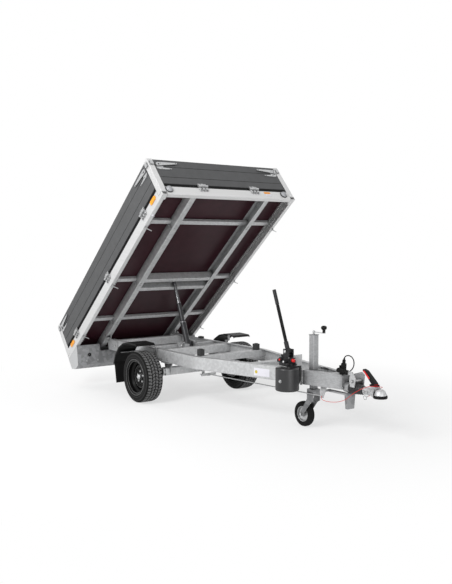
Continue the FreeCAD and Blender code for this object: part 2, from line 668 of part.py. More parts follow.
CROSS_RAIL_PLACES = (U_REAR + 657.0, U_REAR + BED_LENGTH / 2 - 20.0, U_FRONT - 485.0)


def bed_crossrails():
    """Shallow cross rails between the longerons and out to the side rails, and two deep ones for the cylinder."""
    pieces = []
    depth = CROSS_RAIL_DEPTH
    top = V_FLOOR - BOLTED_GAP
    inner = LONGERON_Y + LONGERON_WIDTH / 2 - LONGERON_FOLD - BOLTED_GAP
    for u in CROSS_RAIL_PLACES:
        out0 = LONGERON_Y + LONGERON_WIDTH / 2 + BOLTED_GAP
        out1 = HALF_BED - RAIL_WIDTH - BOLTED_GAP
        outer = square_tube(u, u + 50, out0, out1, top - depth, top, 3.0, 5.0, Y)
        pieces += [outer, mirrored(outer)]
        if u != CROSS_RAIL_PLACES[1]:
            pieces.append(square_tube(u, u + 50, -inner, inner, top - depth - LONGERON_WALL, top - LONGERON_WALL,
                                      3.0, 5.0, Y))
    return tipped(Part.makeCompound(pieces))


def cylinder_beam():
    """The deep cross-beam that takes the cylinder's push: two tubes and, between them, a cup for the rod's ball."""
    u, v = ROD_BALL_U, ROD_BALL_V
    inner = LONGERON_Y + LONGERON_WIDTH / 2 - LONGERON_FOLD - BOLTED_GAP
    top = V_FLOOR - BOLTED_GAP - LONGERON_WALL
    low = V_RAIL + LONGERON_WALL + BOLTED_GAP
    pieces = [square_tube(u0, u0 + 50, -inner, inner, low, top, 3.0, 6.0, Y) for u0 in (u - 100.0, u + 50.0)]
    for y in (-38.0, 28.0):
        pieces.append(box(u - 51, u + 51, y, y + 10, v + 4, top))
    pieces.append(box(u - 51, u + 51, -38, 38, v + 30, v + 40))
    pieces.append(Part.makeCylinder(30, 40, V(u, 0, v)))
    cup = Part.makeSphere(ROD_BALL_RADIUS + HEAD_GAP, V(u, 0, v))
    mouth = Part.makeCone(ROD_BALL_RADIUS + 5.0, ROD_BALL_RADIUS - 1.0, 8.0, V(u, 0, v - 0.5))
    return tipped(fuse(pieces).cut(cup).cut(mouth))


def floor():
    """Film-faced plywood on the rails' and cross rails' tops."""
    inset = SEAL_SETBACK + SEAL_THICK + BOLTED_GAP
    sheet = box(U_REAR + inset, U_FRONT - inset, -HALF_BED + inset, HALF_BED - inset, V_FLOOR, V_FLOOR_TOP)
    for u0 in (U_REAR, U_FRONT - POST_LENGTH):
        for y0 in (-HALF_BED, HALF_BED - POST_WIDTH):
            sheet = sheet.cut(box(u0 - 1, u0 + POST_LENGTH + BOLTED_GAP, y0 - BOLTED_GAP, y0 + POST_WIDTH + BOLTED_GAP,
                                  V_FLOOR - 1, V_FLOOR_TOP + 1))
    return tipped(sheet)


def hinge_lugs():
    """Plates under the longerons that carry the tipping pins, with the pins and their heads."""
    ear0 = BEAM_OUTER_Y + BOLTED_GAP
    lug1 = ear0 - HINGE_SIDE_GAP
    lug0 = lug1 - 14.0
    plate = side_plate([(-HINGE_EYE_RADIUS, 0), (HINGE_EYE_RADIUS, 0), (HINGE_EYE_RADIUS + 20, V_RAIL - BOLTED_GAP),
                        (-HINGE_EYE_RADIUS - 50, V_RAIL - BOLTED_GAP)], lug0, lug1)
    eye = rod(V(0, lug0, 0), V(0, lug1, 0), HINGE_EYE_RADIUS - 2)
    pin = rod(V(0, lug0, 0), V(0, ear0 + HINGE_EAR_THICK + 10, 0), HINGE_PIN_RADIUS)
    head = rod(V(0, ear0 + HINGE_EAR_THICK + 2, 0), V(0, ear0 + HINGE_EAR_THICK + 16, 0), 21.0)
    return tipped(pair(fuse([plate, eye, pin, head])))


LAMP_RADIUS = 36.0
LAMP_Y = (-HALF_BED + 150.0, HALF_BED - 150.0)
LAMP_HALF = 110.0
LAMP_LOW = V_RAIL - 125.0
LAMP_HIGH = V_RAIL - 15.0


def light_box():
    """The folded box under the bed's rear end that carries the rear lamps."""
    wall = 3.0
    outline = [(U_REAR, V_RAIL - BOLTED_GAP), (U_REAR, V_RAIL - 132), (U_REAR + 80, V_RAIL - 187),
               (U_REAR + 166, V_RAIL - 192), (U_REAR + 262, V_RAIL - 46), (U_REAR + 283, V_RAIL - BOLTED_GAP)]
    outer = side_plate(outline, -HALF_BED, HALF_BED)
    hollow = [(U_REAR + wall, V_RAIL + 1), (U_REAR + wall, V_RAIL - 130), (U_REAR + 81, V_RAIL - 187 + wall),
              (U_REAR + 164, V_RAIL - 192 + wall), (U_REAR + 262 - wall, V_RAIL - 46), (U_REAR + 283 - wall, V_RAIL + 1)]
    shell = outer.cut(side_plate(hollow, -HALF_BED + wall, HALF_BED - wall))
    for side in (-1, 1):
        y = side * (LONGERON_Y + 10)
        shell = shell.cut(box(U_REAR + 200, U_REAR + 300, y - 60, y + 60, V_RAIL - 70, V_RAIL + 1))
    for y in LAMP_Y:
        shell = shell.cut(box(U_REAR - 1, U_REAR + wall + 1, y - LAMP_HALF - BOLTED_GAP, y + LAMP_HALF + BOLTED_GAP,
                              LAMP_LOW - BOLTED_GAP, LAMP_HIGH + BOLTED_GAP))
    for y in LAMP_Y:
        at = V(U_REAR + 228, y, V_RAIL - 100)
        shell = shell.cut(rod(at.sub(V(40, 0, -30)), at.add(V(40, 0, -30)), 14.0))
    return tipped(shell)


def tail_lamps():
    """Long lamps sunk in the light box's rear face, and the small number plate lamp between them."""
    lamps = []
    for y in LAMP_Y:
        lamps.append(rounded_bar(U_REAR - 5, U_REAR + 34, y - LAMP_HALF, y + LAMP_HALF, LAMP_LOW, LAMP_HIGH, 8.0, X))
    lamps.append(rounded_bar(U_REAR - 5.3, U_REAR - BOLTED_GAP, -45, 45, V_RAIL - 40, V_RAIL - 12, 5.0, X))
    return tipped(Part.makeCompound(lamps))


SIDE_HINGE_U = (U_REAR + 388.0, U_REAR + BED_LENGTH / 2 + 17.0, U_FRONT - 387.0)
END_HINGE_Y = (495.0 - HALF_BED, HALF_BED - 495.0)
ROPE_HOOK_U = (U_REAR + 479.0, U_REAR + BED_LENGTH / 2 + 13.0, U_FRONT - 464.0)
HINGE_WIDTH = 110.0
HINGE_SLOT = 26.0
KNUCKLE_RADIUS = 9.0


def hinge_lobe(x, lean_deg):
    """A flat finger with a round end and a bolt hole, hanging from a hinge's block over the rail."""
    reach, half, thick = 34.0, 13.0, 6.0
    y0 = BOLTED_GAP - PANEL_HINGE_OUT
    bar = box(-half, half, y0, y0 + thick, -reach, 4)
    tip = rod(V(0, y0, -reach), V(0, y0 + thick, -reach), half)
    hole = rod(V(0, y0 - 1, -reach), V(0, y0 + thick + 1, -reach), 4.0)
    return placed(fuse([bar, tip]).cut(hole), V(x, 0, -PANEL_HINGE_LIFT), lean_deg, Y)


def hinge_leaf(fixed):
    """One leaf of a side hinge at the origin of its pin, pin along X, outside towards +Y.
    The fixed leaf is a block with two outer knuckles, the pin and three fingers; the moving one has the middle knuckle."""
    knuckle, half, slot = KNUCKLE_RADIUS, HINGE_WIDTH / 2, HINGE_SLOT / 2
    out = BOLTED_GAP - PANEL_HINGE_OUT
    if fixed:
        block = box(-half, half, out, -1, -PANEL_HINGE_LIFT, 16)
        parts = [block, rod(V(-half, 0, 0), V(half, 0, 0), knuckle)]
        parts += [hinge_lobe(x, lean) for x, lean in ((-half + 13, -12.0), (0.0, 0.0), (half - 13, 12.0))]
        body = fuse(parts).cut(box(-slot, slot, -30, 30, -knuckle - 1.5, 30))
        return fuse([body, rod(V(-half, 0, 0), V(half, 0, 0), 4.0)])
    part = slot - 1.5
    middle = rod(V(-part, 0, 0), V(part, 0, 0), knuckle).cut(rod(V(-half, 0, 0), V(half, 0, 0), 4.0 + 0.5))
    lift = PANEL_GAP - PANEL_HINGE_LIFT
    strap = box(-part, part, out + 1, -4, 5.5, lift + 10)
    leaf = box(-half + 8, half - 8, out - PANEL_INSET, out + 4, lift + 1, lift + 10)
    return fuse([middle, strap, leaf])


def at_side(shape, u):
    """Puts a piece drawn round a left side hinge's pin on the bed."""
    return placed(shape, V(u, HALF_BED + PANEL_HINGE_OUT, V_PANEL_HINGE))


def at_front(shape, y):
    return placed(shape, V(U_FRONT + PANEL_HINGE_OUT, y, V_PANEL_HINGE), -90)


def at_rear(shape, y):
    return placed(shape, V(U_REAR - PANEL_HINGE_OUT, y, V_PANEL_HINGE), 90)


def rope_hook():
    """A bent round bar under the side rail, at the origin of the rail's lower outer edge."""
    r = 5.0
    return fuse([rod(V(0, -14, -BOLTED_GAP), V(0, -14, -26), r), rod(V(0, -14, -22), V(0, 16, -40), r)])


def rail_fittings():
    """Fixed hinge leaves, rope hooks and the posts' latch keepers."""
    fixed = hinge_leaf(True)
    shapes = []
    for u in SIDE_HINGE_U:
        left = at_side(fixed, u)
        shapes += [left, mirrored(left)]
    for y in END_HINGE_Y:
        shapes += [at_front(fixed, y), at_rear(fixed, y)]
    for u in ROPE_HOOK_U:
        left = placed(rope_hook(), V(u, HALF_BED, V_RAIL))
        shapes += [left, mirrored(left)]
    keeper_v = V_POST_TOP - 78.0
    for u, turn in ((U_REAR + 22, 0), (U_FRONT - POST_LENGTH + 12, 0)):
        left = box(u, u + 36, HALF_BED + BOLTED_GAP, HALF_BED + 12, keeper_v, keeper_v + 44)
        shapes += [left, mirrored(left)]
    for u0 in (U_FRONT + BOLTED_GAP, U_REAR - 12):
        left = box(u0, u0 + 12 - BOLTED_GAP, HALF_BED - POST_WIDTH + 8, HALF_BED - 16, keeper_v, keeper_v + 44)
        shapes += [left, mirrored(left)]
    return tipped(Part.makeCompound(shapes))


def rim_seals():
    """Rubber strips that fill the gap between the rails and the drop sides."""
    height = PANEL_GAP - 2.0
    base = V_RAIL_TOP + BOLTED_GAP
    out = SEAL_SETBACK
    strips = []
    u0, u1 = U_REAR + POST_LENGTH + 3, U_FRONT - POST_LENGTH - 3
    side = box(u0, u1, HALF_BED - out - SEAL_THICK, HALF_BED - out, base, base + height)
    strips += [side, mirrored(side)]
    half = HALF_BED - POST_WIDTH - 3
    strips.append(box(U_FRONT - out - SEAL_THICK, U_FRONT - out, -half, half, base, base + height))
    strips.append(box(U_REAR + out, U_REAR + out + SEAL_THICK, -half, half, base, base + height))
    return tipped(Part.makeCompound(strips))


def side_markers():
    """Amber side reflectors on the side rails, near their ends."""
    marks = []
    for u in (U_REAR + 219.0, U_FRONT - 170.0):
        left = rounded_bar(u - 53, u + 53, HALF_BED + BOLTED_GAP, HALF_BED + 7, V_RAIL + 56, V_RAIL + 94, 12.0, Y)
        marks += [left, mirrored(left)]
    return tipped(Part.makeCompound(marks))


def front_markers():
    """Domed white front lamps on flat round bases, at the ends of the front rail."""
    dome = [(0, 0), (LAMP_RADIUS, 0), (LAMP_RADIUS, 6), (LAMP_RADIUS - 5, 8), (LAMP_RADIUS - 7, 16),
            (LAMP_RADIUS - 12, 22), (LAMP_RADIUS - 20, 26), (0, 28)]
    return tipped(Part.makeCompound([ring(dome, V(U_FRONT + BOLTED_GAP, y, V_RAIL + 64), X)
                                     for y in (95.0 - HALF_BED, HALF_BED - 126.0)]))


# Drop sides


def plank_panel(length):
    """A drop side of hollow plank profiles, drawn along X from 0: outer face on y = 0, body towards -Y."""
    height = V_POST_TOP - V_PANEL - 3.0
    groove = PANEL_GROOVE
    outline = [(0.0, 0.0)]
    for z in PLANK_EDGES[1:]:
        outline += [(0.0, z - groove), (-groove, z - groove / 2), (-groove, z + groove / 2), (0.0, z + groove)]
    outline += [(0.0, height - 14), (-3.0, height - 12), (-3.0, height), (-PANEL_THICK + 3, height),
                (-PANEL_THICK, height - 3), (-PANEL_THICK, 0.0)]
    panel = prism([(0, y, z) for y, z in outline], V(length, 0, 0))
    wall = PANEL_WALL
    edges = list(PLANK_EDGES) + [height]
    for low, high in zip(edges, edges[1:]):
        panel = panel.cut(box(-1, length + 1, -PANEL_THICK + wall, -groove - wall, low + wall, high - wall - 1))
    caps = [box(x, x + 3, -PANEL_THICK + wall, -groove - wall, wall, height - wall - 1) for x in (0, length - 3)]
    return fuse([panel] + caps)


SIDE_PANEL_LENGTH = BED_LENGTH - 2 * POST_LENGTH - 2 * PANEL_END_GAP
END_PANEL_LENGTH = BED_WIDTH - 2 * POST_WIDTH - 2 * PANEL_END_GAP


LATCH_PLATE = [(6, -32), (36, -44), (150, -40), (172, -34), (172, -28), (80, -20), (80, 30), (6, 36)]
LATCH_LEVER = [(8, 0), (14, -6), (90, 6), (246, 28), (250, 36), (246, 44), (110, 44), (30, 42), (8, 30)]


def latch(at_right):
    """An over-centre latch on a panel's outer face, at its end on x = 0: stepped plate, tapered lever and hub."""
    s = -1 if at_right else 1
    plate = prism([(s * x, BOLTED_GAP, z) for x, z in LATCH_PLATE], V(0, 4.7, 0))
    lever = prism([(s * x, 8, z) for x, z in LATCH_LEVER], V(0, 6, 0))
    hub_part = rod(V(s * 34, 1, 16), V(s * 34, 15, 16), 14.0)
    foot = rod(V(s * 232, BOLTED_GAP, 35), V(s * 232, 9, 35), 5.0)
    return fuse([plate, lever, hub_part, foot])


def side_panel():
    piece = plank_panel(SIDE_PANEL_LENGTH)
    piece.translate(V(U_REAR + POST_LENGTH + PANEL_END_GAP, HALF_BED - PANEL_INSET, V_PANEL))
    return piece


def panel_face_fittings(length, place, hinges):
    """Latches at both ends of a panel and its moving hinge leaves, each put in place by a function."""
    level = V_POST_TOP - V_PANEL - 93.0
    shapes = [placed(latch(False), V(0, 0, level)), placed(latch(True), V(length, 0, level))]
    return [place(s) for s in shapes] + hinges


def to_left(shape):
    return placed(shape, V(U_REAR + POST_LENGTH + PANEL_END_GAP, HALF_BED - PANEL_INSET, V_PANEL))


def to_front(shape):
    return placed(shape, V(U_FRONT - PANEL_INSET, END_PANEL_LENGTH / 2, V_PANEL), -90)


def to_rear(shape):
    return placed(shape, V(U_REAR + PANEL_INSET, -END_PANEL_LENGTH / 2, V_PANEL), 90)


# Hand pump


def pump_bracket():
    """A plate bolted along the right beam, with a shelf that carries the pump by its neck."""
    x0, x1 = PUMP_X - 70.0, NOSE_JOINT_X - 8.0
    out0, out1 = -beam_outer_y(x0) - BOLTED_GAP, -beam_outer_y(x1) - BOLTED_GAP
    low, shelf = CHASSIS_BOTTOM + 22.0, TANK_TOP + 8.0
    wall = prism([(x0, out0, low), (x1, out1, low), (x1, out1 - 6, low), (x0, out0 - 6, low)], V(0, 0, shelf + 8 - low))
    plate = prism([(x0, out0, shelf), (x1, out1, shelf), (x1, PUMP_Y - 44, shelf), (x0, PUMP_Y - 44, shelf)],
                  V(0, 0, 8))
    wing = box(x1 - 6, x1, PUMP_Y + 42, out1, shelf, shelf + 96)
    return fuse([wall, plate, wing])


def pump_tank():
    body = Part.makeCylinder(TANK_RADIUS, TANK_TOP - TANK_BOTTOM, V(PUMP_X, PUMP_Y, TANK_BOTTOM))
    rounded = body.makeFillet(14.0, [e for e in body.Edges if isinstance(e.Curve, Part.Circle)])
    neck = rod(V(PUMP_X, PUMP_Y, TANK_TOP - 2), V(PUMP_X, PUMP_Y, TANK_TOP + 8 - BOLTED_GAP), 52.0)
    return fuse([rounded, neck])


def pump_block():
    """The valve block on the tank, with its knobs and the lever's two cheeks."""
    z0 = TANK_TOP + 16 + BOLTED_GAP
    body = box(PUMP_X - 62, PUMP_X + 66, PUMP_Y - 38, PUMP_Y + 38, z0, z0 + 70)
    parts = [body]
    parts.append(rod(V(PUMP_X - 105, PUMP_Y - 10, z0 + 34), V(PUMP_X - 60, PUMP_Y - 10, z0 + 34), 17.0))
    parts.append(rod(V(PUMP_X + 30, PUMP_Y - 66, z0 + 42), V(PUMP_X + 30, PUMP_Y - 36, z0 + 42), 17.0))
    parts.append(rod(V(PUMP_X - 44, PUMP_Y - 14, z0 + 66), V(PUMP_X - 44, PUMP_Y - 14, z0 + 92), 15.0))
    parts.append(box(PUMP_X - 20, PUMP_X + 50, PUMP_Y - 30, PUMP_Y - 20, z0 + 66, LEVER_PIVOT_Z + 20))
    parts.append(box(PUMP_X - 20, PUMP_X + 50, PUMP_Y + 20, PUMP_Y + 30, z0 + 66, LEVER_PIVOT_Z + 20))
    pin_x = PUMP_X + 10
    parts.append(rod(V(pin_x, PUMP_Y - 36, LEVER_PIVOT_Z), V(pin_x, PUMP_Y + 36, LEVER_PIVOT_Z), LEVER_PIN_RADIUS))
    return fuse(parts)


def pump_lever():
    """The pumping lever: a socket block on its pivot and a long tube."""
    lean = math.radians(LEVER_LEAN_DEG)
    along = V(-math.sin(lean), 0, math.cos(lean))
    pivot = V(PUMP_X + 10, PUMP_Y, LEVER_PIVOT_Z)
    boss = rod(pivot.sub(V(0, 19, 0)), pivot.add(V(0, 19, 0)), 27.0)
    socket = rod(pivot.add(V(along).multiply(12)), pivot.add(V(along).multiply(84)), 19.5)
    tube = rod(pivot.add(V(along).multiply(60)), pivot.add(V(along).multiply(LEVER_LENGTH)), 11.0)
    grip = rod(pivot.add(V(along).multiply(LEVER_LENGTH - 130)), pivot.add(V(along).multiply(LEVER_LENGTH + 3)), 16.0)
    bore = rod(pivot.sub(V(0, 30, 0)), pivot.add(V(0, 30, 0)), LEVER_PIN_RADIUS + 0.06)
    return fuse([boss, socket, tube, grip]).cut(bore)


# Jockey wheel


def jockey_mast():
    half = MAST_SIDE / 2
    mast = square_tube(MAST_X - half, MAST_X + half, -half, half, MAST_BOTTOM, MAST_TOP, MAST_WALL, 6.0, Z)
    cap = box(MAST_X - half - 2, MAST_X + half + 2, -half - 2, half + 2, MAST_TOP + BOLTED_GAP, MAST_TOP + 6)
    return fuse([mast, box(MAST_X - half + 2, MAST_X + half - 2, -half + 2, half - 2, MAST_TOP - 4, MAST_TOP), cap])


def jockey_crank():
    shaft = rod(V(MAST_X, 0, MAST_TOP + 6), V(MAST_X, 0, MAST_TOP + 40), 9.0)
    arm = box(MAST_X - 10, MAST_X + 138, -9, 9, MAST_TOP + 24, MAST_TOP + 30)
    knob = rod(V(MAST_X + 126, 0, MAST_TOP + 30), V(MAST_X + 126, 0, MAST_TOP + 62), 12.0)
    head = ring([(0, 56), (14, 56), (22, 64), (25, 74), (22, 84), (12, 90), (0, 91)], V(MAST_X + 126, 0, MAST_TOP), Z)
    return fuse([shaft, arm, knob, head])


def jockey_leg():
    """The inner tube and the cranked fork that holds the jockey wheel."""
    half = MAST_SIDE / 2 - MAST_WALL - 0.5
    hub_at = V(MAST_X - JOCKEY_TRAIL, 0, JOCKEY_RADIUS)
    tube = rounded_bar(MAST_X - half, MAST_X + half, -half, half, 300, MAST_TOP - 70, 4.0, Z)
    cheek_y = JOCKEY_WIDTH / 2 + 7.0
    shapes = [tube]
    top = [(MAST_X - 40, 352), (MAST_X + 38, 352), (MAST_X + 38, 250), (MAST_X + 6, 232),
           (hub_at.x + 16, hub_at.z - 16), (hub_at.x - 18, hub_at.z - 2), (hub_at.x - 6, hub_at.z + 20),
           (MAST_X - 40, 262)]
    for y in (-cheek_y - 5, cheek_y):
        shapes.append(side_plate(top, y, y + 5))
    shapes.append(box(MAST_X - 40, MAST_X + 38, -cheek_y - 5, cheek_y + 5, 300, 352))
    shapes.append(rod(hub_at.sub(V(0, cheek_y + 9, 0)), hub_at.add(V(0, cheek_y + 9, 0)), 8.0))
    return fuse(shapes)


def jockey_tyre():
    r, w = JOCKEY_RADIUS, JOCKEY_WIDTH / 2
    profile = [(JOCKEY_RIM_RADIUS, -w + 8), (JOCKEY_RIM_RADIUS + 10, -w), (r - 14, -w), (r - 3, -w + 10),
               (r, -w + 20), (r, w - 20), (r - 3, w - 10), (r - 14, w), (JOCKEY_RIM_RADIUS + 10, w),
               (JOCKEY_RIM_RADIUS, w - 8)]
    return ring(profile, V(MAST_X - JOCKEY_TRAIL, 0, JOCKEY_RADIUS), Y)


def jockey_rim():
    r, w = JOCKEY_RIM_RADIUS - 0.2, JOCKEY_WIDTH / 2
    bore = 8.0 + 0.3
    profile = [(bore, -w - 3), (20, -w - 3), (22, -10), (r - 8, -10), (r - 4, -w + 6), (r, -w + 6), (r, w - 6),
               (r - 4, w - 6), (r - 8, 10), (22, 10), (20, w + 3), (bore, w + 3)]
    return ring(profile, V(MAST_X - JOCKEY_TRAIL, 0, JOCKEY_RADIUS), Y)


# Overrun coupling


def overrun_housing():
    """The cast housing bolted inside the nose's front, with the sliding tube's front bearing."""
    x0 = NOSE_FRONT_X + BOLTED_GAP
    plate = box(x0, x0 + 10, -62, 62, CHASSIS_BOTTOM + 4, CHASSIS_TOP - 4)
    barrel_part = rod(V(x0, 0, COUPLING_Z), V(x0 + 62, 0, COUPLING_Z), 42.0)
    cheek = side_plate([(x0 + 4, COUPLING_Z), (x0 + 150, COUPLING_Z + 26), (x0 + 160, COUPLING_Z + 116),
                        (x0 + 128, COUPLING_Z + 136), (x0 + 4, CHASSIS_TOP - 8)], 50, 58)
    return fuse([plate, barrel_part, cheek])


def bellows():
    x0 = NOSE_FRONT_X + BOLTED_GAP + 62 + BOLTED_GAP
    x1 = BALL_X - 172.0
    folds = 6
    step = (x1 - x0) / folds
    bore = 26.0
    profile = [(bore, 0.0)]
    for i in range(folds):
        profile += [(38.0 - i, i * step), (50.0 - 2.2 * i, (i + 0.5) * step)]
    profile += [(32.0, folds * step), (bore, folds * step)]
    return ring(profile, V(x0, 0, COUPLING_Z), X)


def coupling_tube():
    """The sliding drawbar tube through the bellows."""
    return rod(V(NOSE_FRONT_X + BOLTED_GAP + 62 + BOLTED_GAP, 0, COUPLING_Z), V(BALL_X - 120, 0, COUPLING_Z), 25.0)


def coupling_head():
    """The pressed ball coupling: a slender neck behind, widening to a round cup for the tow ball in front."""
    z = COUPLING_Z
    rear = BALL_X - 165.0
    neck = rod(V(rear, 0, z), V(BALL_X - 70, 0, z), 33.0)
    flare = Part.makeCone(33.0, HEAD_CUP_RADIUS - 6, 62.0, V(BALL_X - 96, 0, z), X)
    above = box(rear, BALL_X + 80, -80, 80, z - HEAD_CUP_DROP, z + 60)
    cup = ring([(0, -HEAD_CUP_DROP), (HEAD_CUP_RADIUS, -HEAD_CUP_DROP), (HEAD_CUP_RADIUS, -HEAD_CUP_DROP + 16),
                (HEAD_CUP_RADIUS - 5, -4), (HEAD_CUP_RADIUS - 14, 18), (HEAD_CUP_RADIUS - 28, 31), (0, 35)],
               V(BALL_X, 0, z), Z)
    saddle = side_plate([(BALL_X - 132, z + 20), (BALL_X - 24, z + 20), (BALL_X - 24, z + 48), (BALL_X - 98, z + 48),
                         (BALL_X - 132, z + 32)], -24, 24)
    shape = fuse([neck, flare, cup, saddle]).common(above)
    ball = Part.makeSphere(BALL_RADIUS + 0.5, V(BALL_X, 0, z - 8))
    throat = rod(V(BALL_X, 0, z - 60), V(BALL_X, 0, z - 8), BALL_RADIUS + 0.5)
    mouth = Part.makeCone(HEAD_CUP_RADIUS - 6, BALL_RADIUS, 20.0, V(BALL_X, 0, z - HEAD_CUP_DROP - 1))
    socket = rod(V(rear - 1, 0, z), V(BALL_X - 118, 0, z), 25.0 + BOLTED_GAP)
    return shape.cut(ball).cut(throat).cut(mouth).cut(socket)


def coupling_handle():
    """The release handle on the head."""
    x, z = BALL_X - 62.0, COUPLING_Z + 48 + BOLTED_GAP
    foot = box(x - 34, x + 34, -22, 22, z, z + 16)
    grip = side_plate([(x - 10, z + 8), (x + 26, z + 8), (x + 24, z + 28), (x - 78, z + 118), (x - 112, z + 128),
                       (x - 116, z + 112), (x - 92, z + 96)], -17, 17)
    return fuse([foot, grip])


SECTOR_TEETH = 9
GRIP_RIBS = 6


def handbrake():
    """The parking brake's lever beside the housing: toothed sector, arm and ribbed grip."""
    x = NOSE_FRONT_X + 128.0
    y = -55.0
    z = COUPLING_Z + 68.0
    sector = side_plate([(x - 26, COUPLING_Z + 20), (x + 22, COUPLING_Z + 20), (x + 36, z + 22), (x + 10, z + 66),
                         (x - 24, z + 62), (x - 34, z + 10)], y - 4, y + 4)
    for i in range(SECTOR_TEETH):
        a = math.radians(20 + 10 * i)
        notch = V(x + 66 * math.cos(a), y, z + 66 * math.sin(a))
        sector = sector.cut(disc(notch, Y, 4.5, 20))
    arm = box(x - 62, x + 2, y - 4, y + 4, CHASSIS_TOP + 12, CHASSIS_TOP + 40)
    start, end = V(x - 52, y, CHASSIS_TOP + 28), V(x - 172, y, CHASSIS_TOP + 36)
    grip = rod(start, end, 15.0)
    along = end.sub(start)
    ribs = [disc(start.add(V(along).multiply((i + 0.5) / GRIP_RIBS)), along, 19.0, 10.0) for i in range(GRIP_RIBS)]
    pivot = rod(V(x, y - 8, z), V(x, 50 - BOLTED_GAP, z), 9.0)
    return fuse([sector, arm, grip, *ribs, pivot])


def foot_plate():
    """The channel-shaped rest below the nose."""
    x1 = NOSE_FRONT_X + 60.0
    x0 = x1 - 28.0
    top = CHASSIS_BOTTOM - 30.0
    plate = prism([(x1 - 4, -50, top), (x1 - 4, 50, top), (x1 - 4, 38, 252), (x1 - 4, -38, 252)], V(4, 0, 0))
    web = [prism([(x0, s * 50, top), (x1, s * 50, top), (x1, s * 38, 252), (x0, s * 38, 252)], V(0, -s * 4, 0))
           for s in (-1, 1)]
    stem = box(x0, x1, -30, 30, top - 6, COUPLING_Z - 42.0)
    return fuse([plate, *web, stem])


def overrun_linkage():
    """The brake lever under the nose that the sliding tube pushes, with its damper."""
    x = NOSE_FRONT_X - 200.0
    y = OVERRUN_LEVER_Y
    lever = side_plate([(x - 36, CHASSIS_BOTTOM - BOLTED_GAP), (x + 30, CHASSIS_BOTTOM - BOLTED_GAP),
                        (x - 12, 306), (x - 40, 306)], y - 6, y + 6)
    boss = rod(V(x - 4, y - 6, CHASSIS_BOTTOM - 42), V(x - 4, 16, CHASSIS_BOTTOM - 42), 11.0)
    damper = rod(V(x - 4, 0, CHASSIS_BOTTOM - 42), V(NOSE_FRONT_X + 32, 0, CHASSIS_BOTTOM - 42), 13.0)
    return fuse([lever, boss, damper])


# Cords


def cord(name, points, radius):
    """A round cord of straight runs joined by tangent arcs."""
    edges, start, radii, length = [], points[0], [], 0.0
    for a, b, c in zip(points, points[1:], points[2:]):
        back, ahead = a.sub(b), c.sub(b)
        turn = math.pi - back.getAngle(ahead)
        if turn < 0.002:
            continue
        reach = 0.45 * min(back.Length, ahead.Length)
        bend = reach / math.tan(turn / 2)
        radii.append(bend)
        t0 = b.add(V(back).normalize().multiply(reach))
        t1 = b.add(V(ahead).normalize().multiply(reach))
        half = V(back).normalize().add(V(ahead).normalize()).normalize()
        middle = b.add(half.multiply(bend / math.cos(turn / 2) - bend))
        edges.append(Part.LineSegment(start, t0).toShape())
        edges.append(Part.Arc(t0, middle, t1).toShape())
        start = t1
    edges.append(Part.LineSegment(start, points[-1]).toShape())
    path = Part.Wire(edges)
    length = path.Length
    section = Part.Wire(Part.Circle(points[0], points[1].sub(points[0]), radius).toShape())
    tube = path.makePipeShell([section], True, False)
    share = tube.Volume / (math.pi * radius ** 2 * length)
    print("%s: length %.0f mm, least bend radius %.1f mm, volume ratio %.4f" % (name, length, min(radii), share))
    return tube


BREAKAWAY_RADIUS = 2.0
BREAKAWAY_ROUTE = (
    # x, y, z from the brake lever over the coupling head to the clip
    (1551, -67.8, 322), (1564, -86, 309), (1597, -90, 296), (1635, -86, 293), (1672, -83, 294), (1707, -80, 298),
    (1743, -79, 304), (1777, -78, 313), (1811, -77, 325), (1843, -76, 341), (1872, -75, 361), (1900, -74, 383),
    (1929, -73, 404), (1960, -71, 423), (1990, -68, 441), (2022, -65, 458), (2055, -62, 473), (2088, -60, 485),
    (2123, -52, 490), (2149, -32, 489), (2160, -2, 485), (2151, 29, 479), (2128, 51, 469), (2099, 62, 455),
    (2072, 65, 437), (2046, 65, 419), (2020, 63, 401), (1994, 61, 385), (1967, 59, 371),
)
PLUG_CABLE_RADIUS = 4.5
PLUG_X = 1753.0
PLUG_Y = -6.0
PLUG_CABLE_ROUTE = (
    # x, y, z from the plug's gland back into the nose
    (1759, -6, 668.5), (1769, -5, 684), (1791, -2, 694), (1819, 3, 693), (1843, 8, 676), (1852, 13, 648),
    (1847, 18, 620), (1833, 23, 595), (1812, 27, 573), (1787, 30, 556), (1761, 30, 543),
)


def breakaway_cable():
    return cord("breakaway_cable", [V(*p) for p in BREAKAWAY_ROUTE], BREAKAWAY_RADIUS)


def plug_cable():
    return cord("plug_cable", [V(*p) for p in PLUG_CABLE_ROUTE], PLUG_CABLE_RADIUS)


def cable_clip():
    """The sprung hook on the breakaway cable's end."""
    x, y, z = BREAKAWAY_ROUTE[-1]
    along = V(-0.886, -0.066, -0.459).normalize()
    end = V(x, y, z).add(V(along).multiply(BOLTED_GAP))
    stem = rod(end, end.add(V(along).multiply(18)), 3.5)
    centre = end.add(V(along).multiply(34))
    loop = Part.makeTorus(17.0, 2.5, centre, V(0, 1, 0.1))
    return fuse([stem, loop])


def plug():
    """The electric plug parked in its holder on the nose."""
    x, y = PLUG_X, PLUG_Y
    holder = box(x - 28, x + 22, y - 24, y + 24, CHASSIS_TOP + BOLTED_GAP, CHASSIS_TOP + 24)
    shell = rod(V(x - 3, y, CHASSIS_TOP + 20), V(x + 1, y, CHASSIS_TOP + 88), 23.0)
    waist = rod(V(x - 1, y, CHASSIS_TOP + 80), V(x + 4, y, CHASSIS_TOP + 118), 14.0)
    gland = rod(V(x + 3, y, CHASSIS_TOP + 112), V(x + 6, y, 666.0), 8.0)
    flap = box(x - 34, x - 26, y - 20, y + 20, CHASSIS_TOP + 16, CHASSIS_TOP + 70)
    return fuse([holder, shell, waist, gland, flap])


NODES = {}


def add(name, shape):
    NODES[name] = shape


